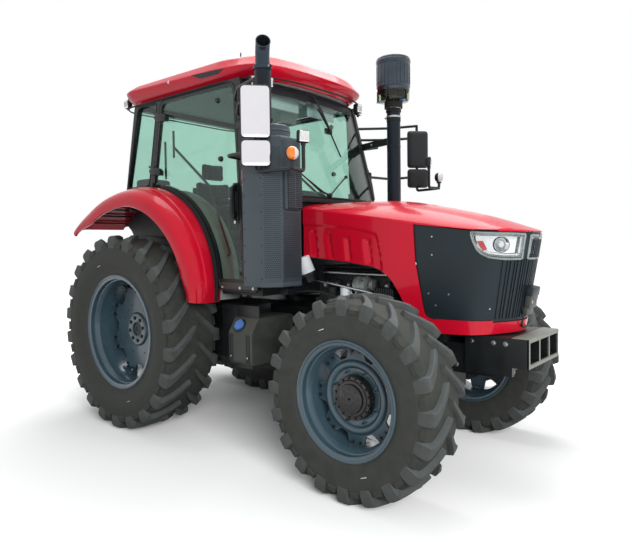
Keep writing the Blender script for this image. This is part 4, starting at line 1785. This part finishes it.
class MakeHood(Operator):
    """Build the hood's painted shell, dark panel, headlamps and louvres"""
    bl_idname = "tractor.hood"
    bl_label = "Hood"

    def execute(self, context):
        make_hood()
        make_hood_trim()
        return {"FINISHED"}


class MakeFenders(Operator):
    """Build the rear fenders with their ribs and seals"""
    bl_idname = "tractor.fenders"
    bl_label = "Fenders"

    def execute(self, context):
        make_fenders()
        return {"FINISHED"}


class MakeRoof(Operator):
    """Build the cab's roof cap and its fittings"""
    bl_idname = "tractor.roof"
    bl_label = "Roof"

    def execute(self, context):
        make_roof()
        return {"FINISHED"}


class MakeCabTrim(Operator):
    """Build the glass seals, door fittings, wipers and cowl"""
    bl_idname = "tractor.cab_trim"
    bl_label = "Cab trim"

    def execute(self, context):
        make_glass_trim()
        make_doors()
        make_screen_gear()
        return {"FINISHED"}


class MakeCabInside(Operator):
    """Build the trim, console and seat frame inside the cab"""
    bl_idname = "tractor.cab_inside"
    bl_label = "Cab inside"

    def execute(self, context):
        make_cab_inside()
        return {"FINISHED"}


class MakeSeat(Operator):
    """Build the padded seat cushions"""
    bl_idname = "tractor.seat"
    bl_label = "Seat cushions"

    def execute(self, context):
        make_cushions()
        return {"FINISHED"}


class MakeExhaust(Operator):
    """Build the exhaust shroud and its outlet"""
    bl_idname = "tractor.exhaust"
    bl_label = "Exhaust"

    def execute(self, context):
        make_shroud()
        make_exhaust()
        return {"FINISHED"}


class MakeIntake(Operator):
    """Build the air intake and its pre-cleaner"""
    bl_idname = "tractor.intake"
    bl_label = "Air intake"

    def execute(self, context):
        make_intake()
        return {"FINISHED"}


class MakeMirrors(Operator):
    """Build the mirror arms and heads"""
    bl_idname = "tractor.mirrors"
    bl_label = "Mirrors"

    def execute(self, context):
        make_mirrors()
        return {"FINISHED"}


class MakeLamps(Operator):
    """Build the work, side and tail lamps"""
    bl_idname = "tractor.lamps"
    bl_label = "Lamps"

    def execute(self, context):
        make_lamps()
        return {"FINISHED"}


class MakeTank(Operator):
    """Build the fuel tank and the battery box"""
    bl_idname = "tractor.tank"
    bl_label = "Tank and battery box"

    def execute(self, context):
        make_tank()
        return {"FINISHED"}


class MakeEngineDress(Operator):
    """Build what is fixed to the engine and the radiator"""
    bl_idname = "tractor.engine_dress"
    bl_label = "Engine fittings"

    def execute(self, context):
        make_engine_dress()
        return {"FINISHED"}


class MakeEnds(Operator):
    """Build the fittings of the front frame, the axles and the rear"""
    bl_idname = "tractor.ends"
    bl_label = "Front and rear fittings"

    def execute(self, context):
        make_front_end()
        make_rear_end()
        return {"FINISHED"}


class FinishFrame(Operator):
    """Give the frame's own pieces their finishes"""
    bl_idname = "tractor.finish_frame"
    bl_label = "Frame finishes"

    def execute(self, context):
        finish_frame_pieces()
        return {"FINISHED"}


class MakeStage(Operator):
    """Set up the floor, surroundings, lamps and camera"""
    bl_idname = "tractor.stage"
    bl_label = "Studio"

    def execute(self, context):
        look = context.scene.tractor_stage
        context.scene.view_settings.view_transform = "Standard"
        make_floor(look)
        make_sky(look)
        make_light("overhead_panel", (-0.8, 1.6, 7.5), (0, 0, 0.8), (6.0, 6.0), look.key)
        make_light("sky_panel", (-6.5, 7.5, 5.0), (0, 0, 1.2), (11.0, 6.0), look.sky)
        make_light("front_panel", (7.0, -5.0, 3.4), (0, 0, 1.2), (4.0, 3.0), look.fill, False)
        make_camera()
        return {"FINISHED"}


PIECES = (MakeTyres, MakeWheels, MakeHood, MakeFenders, MakeRoof, MakeCabTrim, MakeCabInside, MakeSeat,
    MakeExhaust, MakeIntake, MakeMirrors, MakeLamps, MakeTank, MakeEngineDress, MakeEnds, FinishFrame)
SETTINGS = {"tractor_sizes": TractorSizes, "tractor_colours": TractorColours, "tractor_stage": TractorStage}


class TractorPanel(Panel):
    """Lists the tractor's settings and pieces"""
    bl_idname = "VIEW3D_PT_tractor"
    bl_label = "Farm Tractor"
    bl_space_type = "VIEW_3D"
    bl_region_type = "UI"
    bl_category = "Tractor"

    def draw(self, context):
        for group, kind in SETTINGS.items():
            box = self.layout.box()
            for setting in kind.__annotations__:
                box.prop(getattr(context.scene, group), setting)
        for piece in (*PIECES, MakeStage):
            self.layout.operator(piece.bl_idname)


def register():
    for kind in (*SETTINGS.values(), *PIECES, MakeStage, TractorPanel):
        bpy.utils.register_class(kind)
    for group, kind in SETTINGS.items():
        setattr(bpy.types.Scene, group, PointerProperty(type=kind))


def unregister():
    for group in SETTINGS:
        delattr(bpy.types.Scene, group)
    for kind in (TractorPanel, MakeStage, *reversed(PIECES), *SETTINGS.values()):
        bpy.utils.unregister_class(kind)


def main():
    """Builds every piece and the studio, and notes how large the result is."""
    register()
    for piece in (*PIECES, MakeStage):
        family, name = piece.bl_idname.split(".")
        getattr(getattr(bpy.ops, family), name)()
    bpy.context.view_layer.update()


if __name__ == "__main__":
    main()
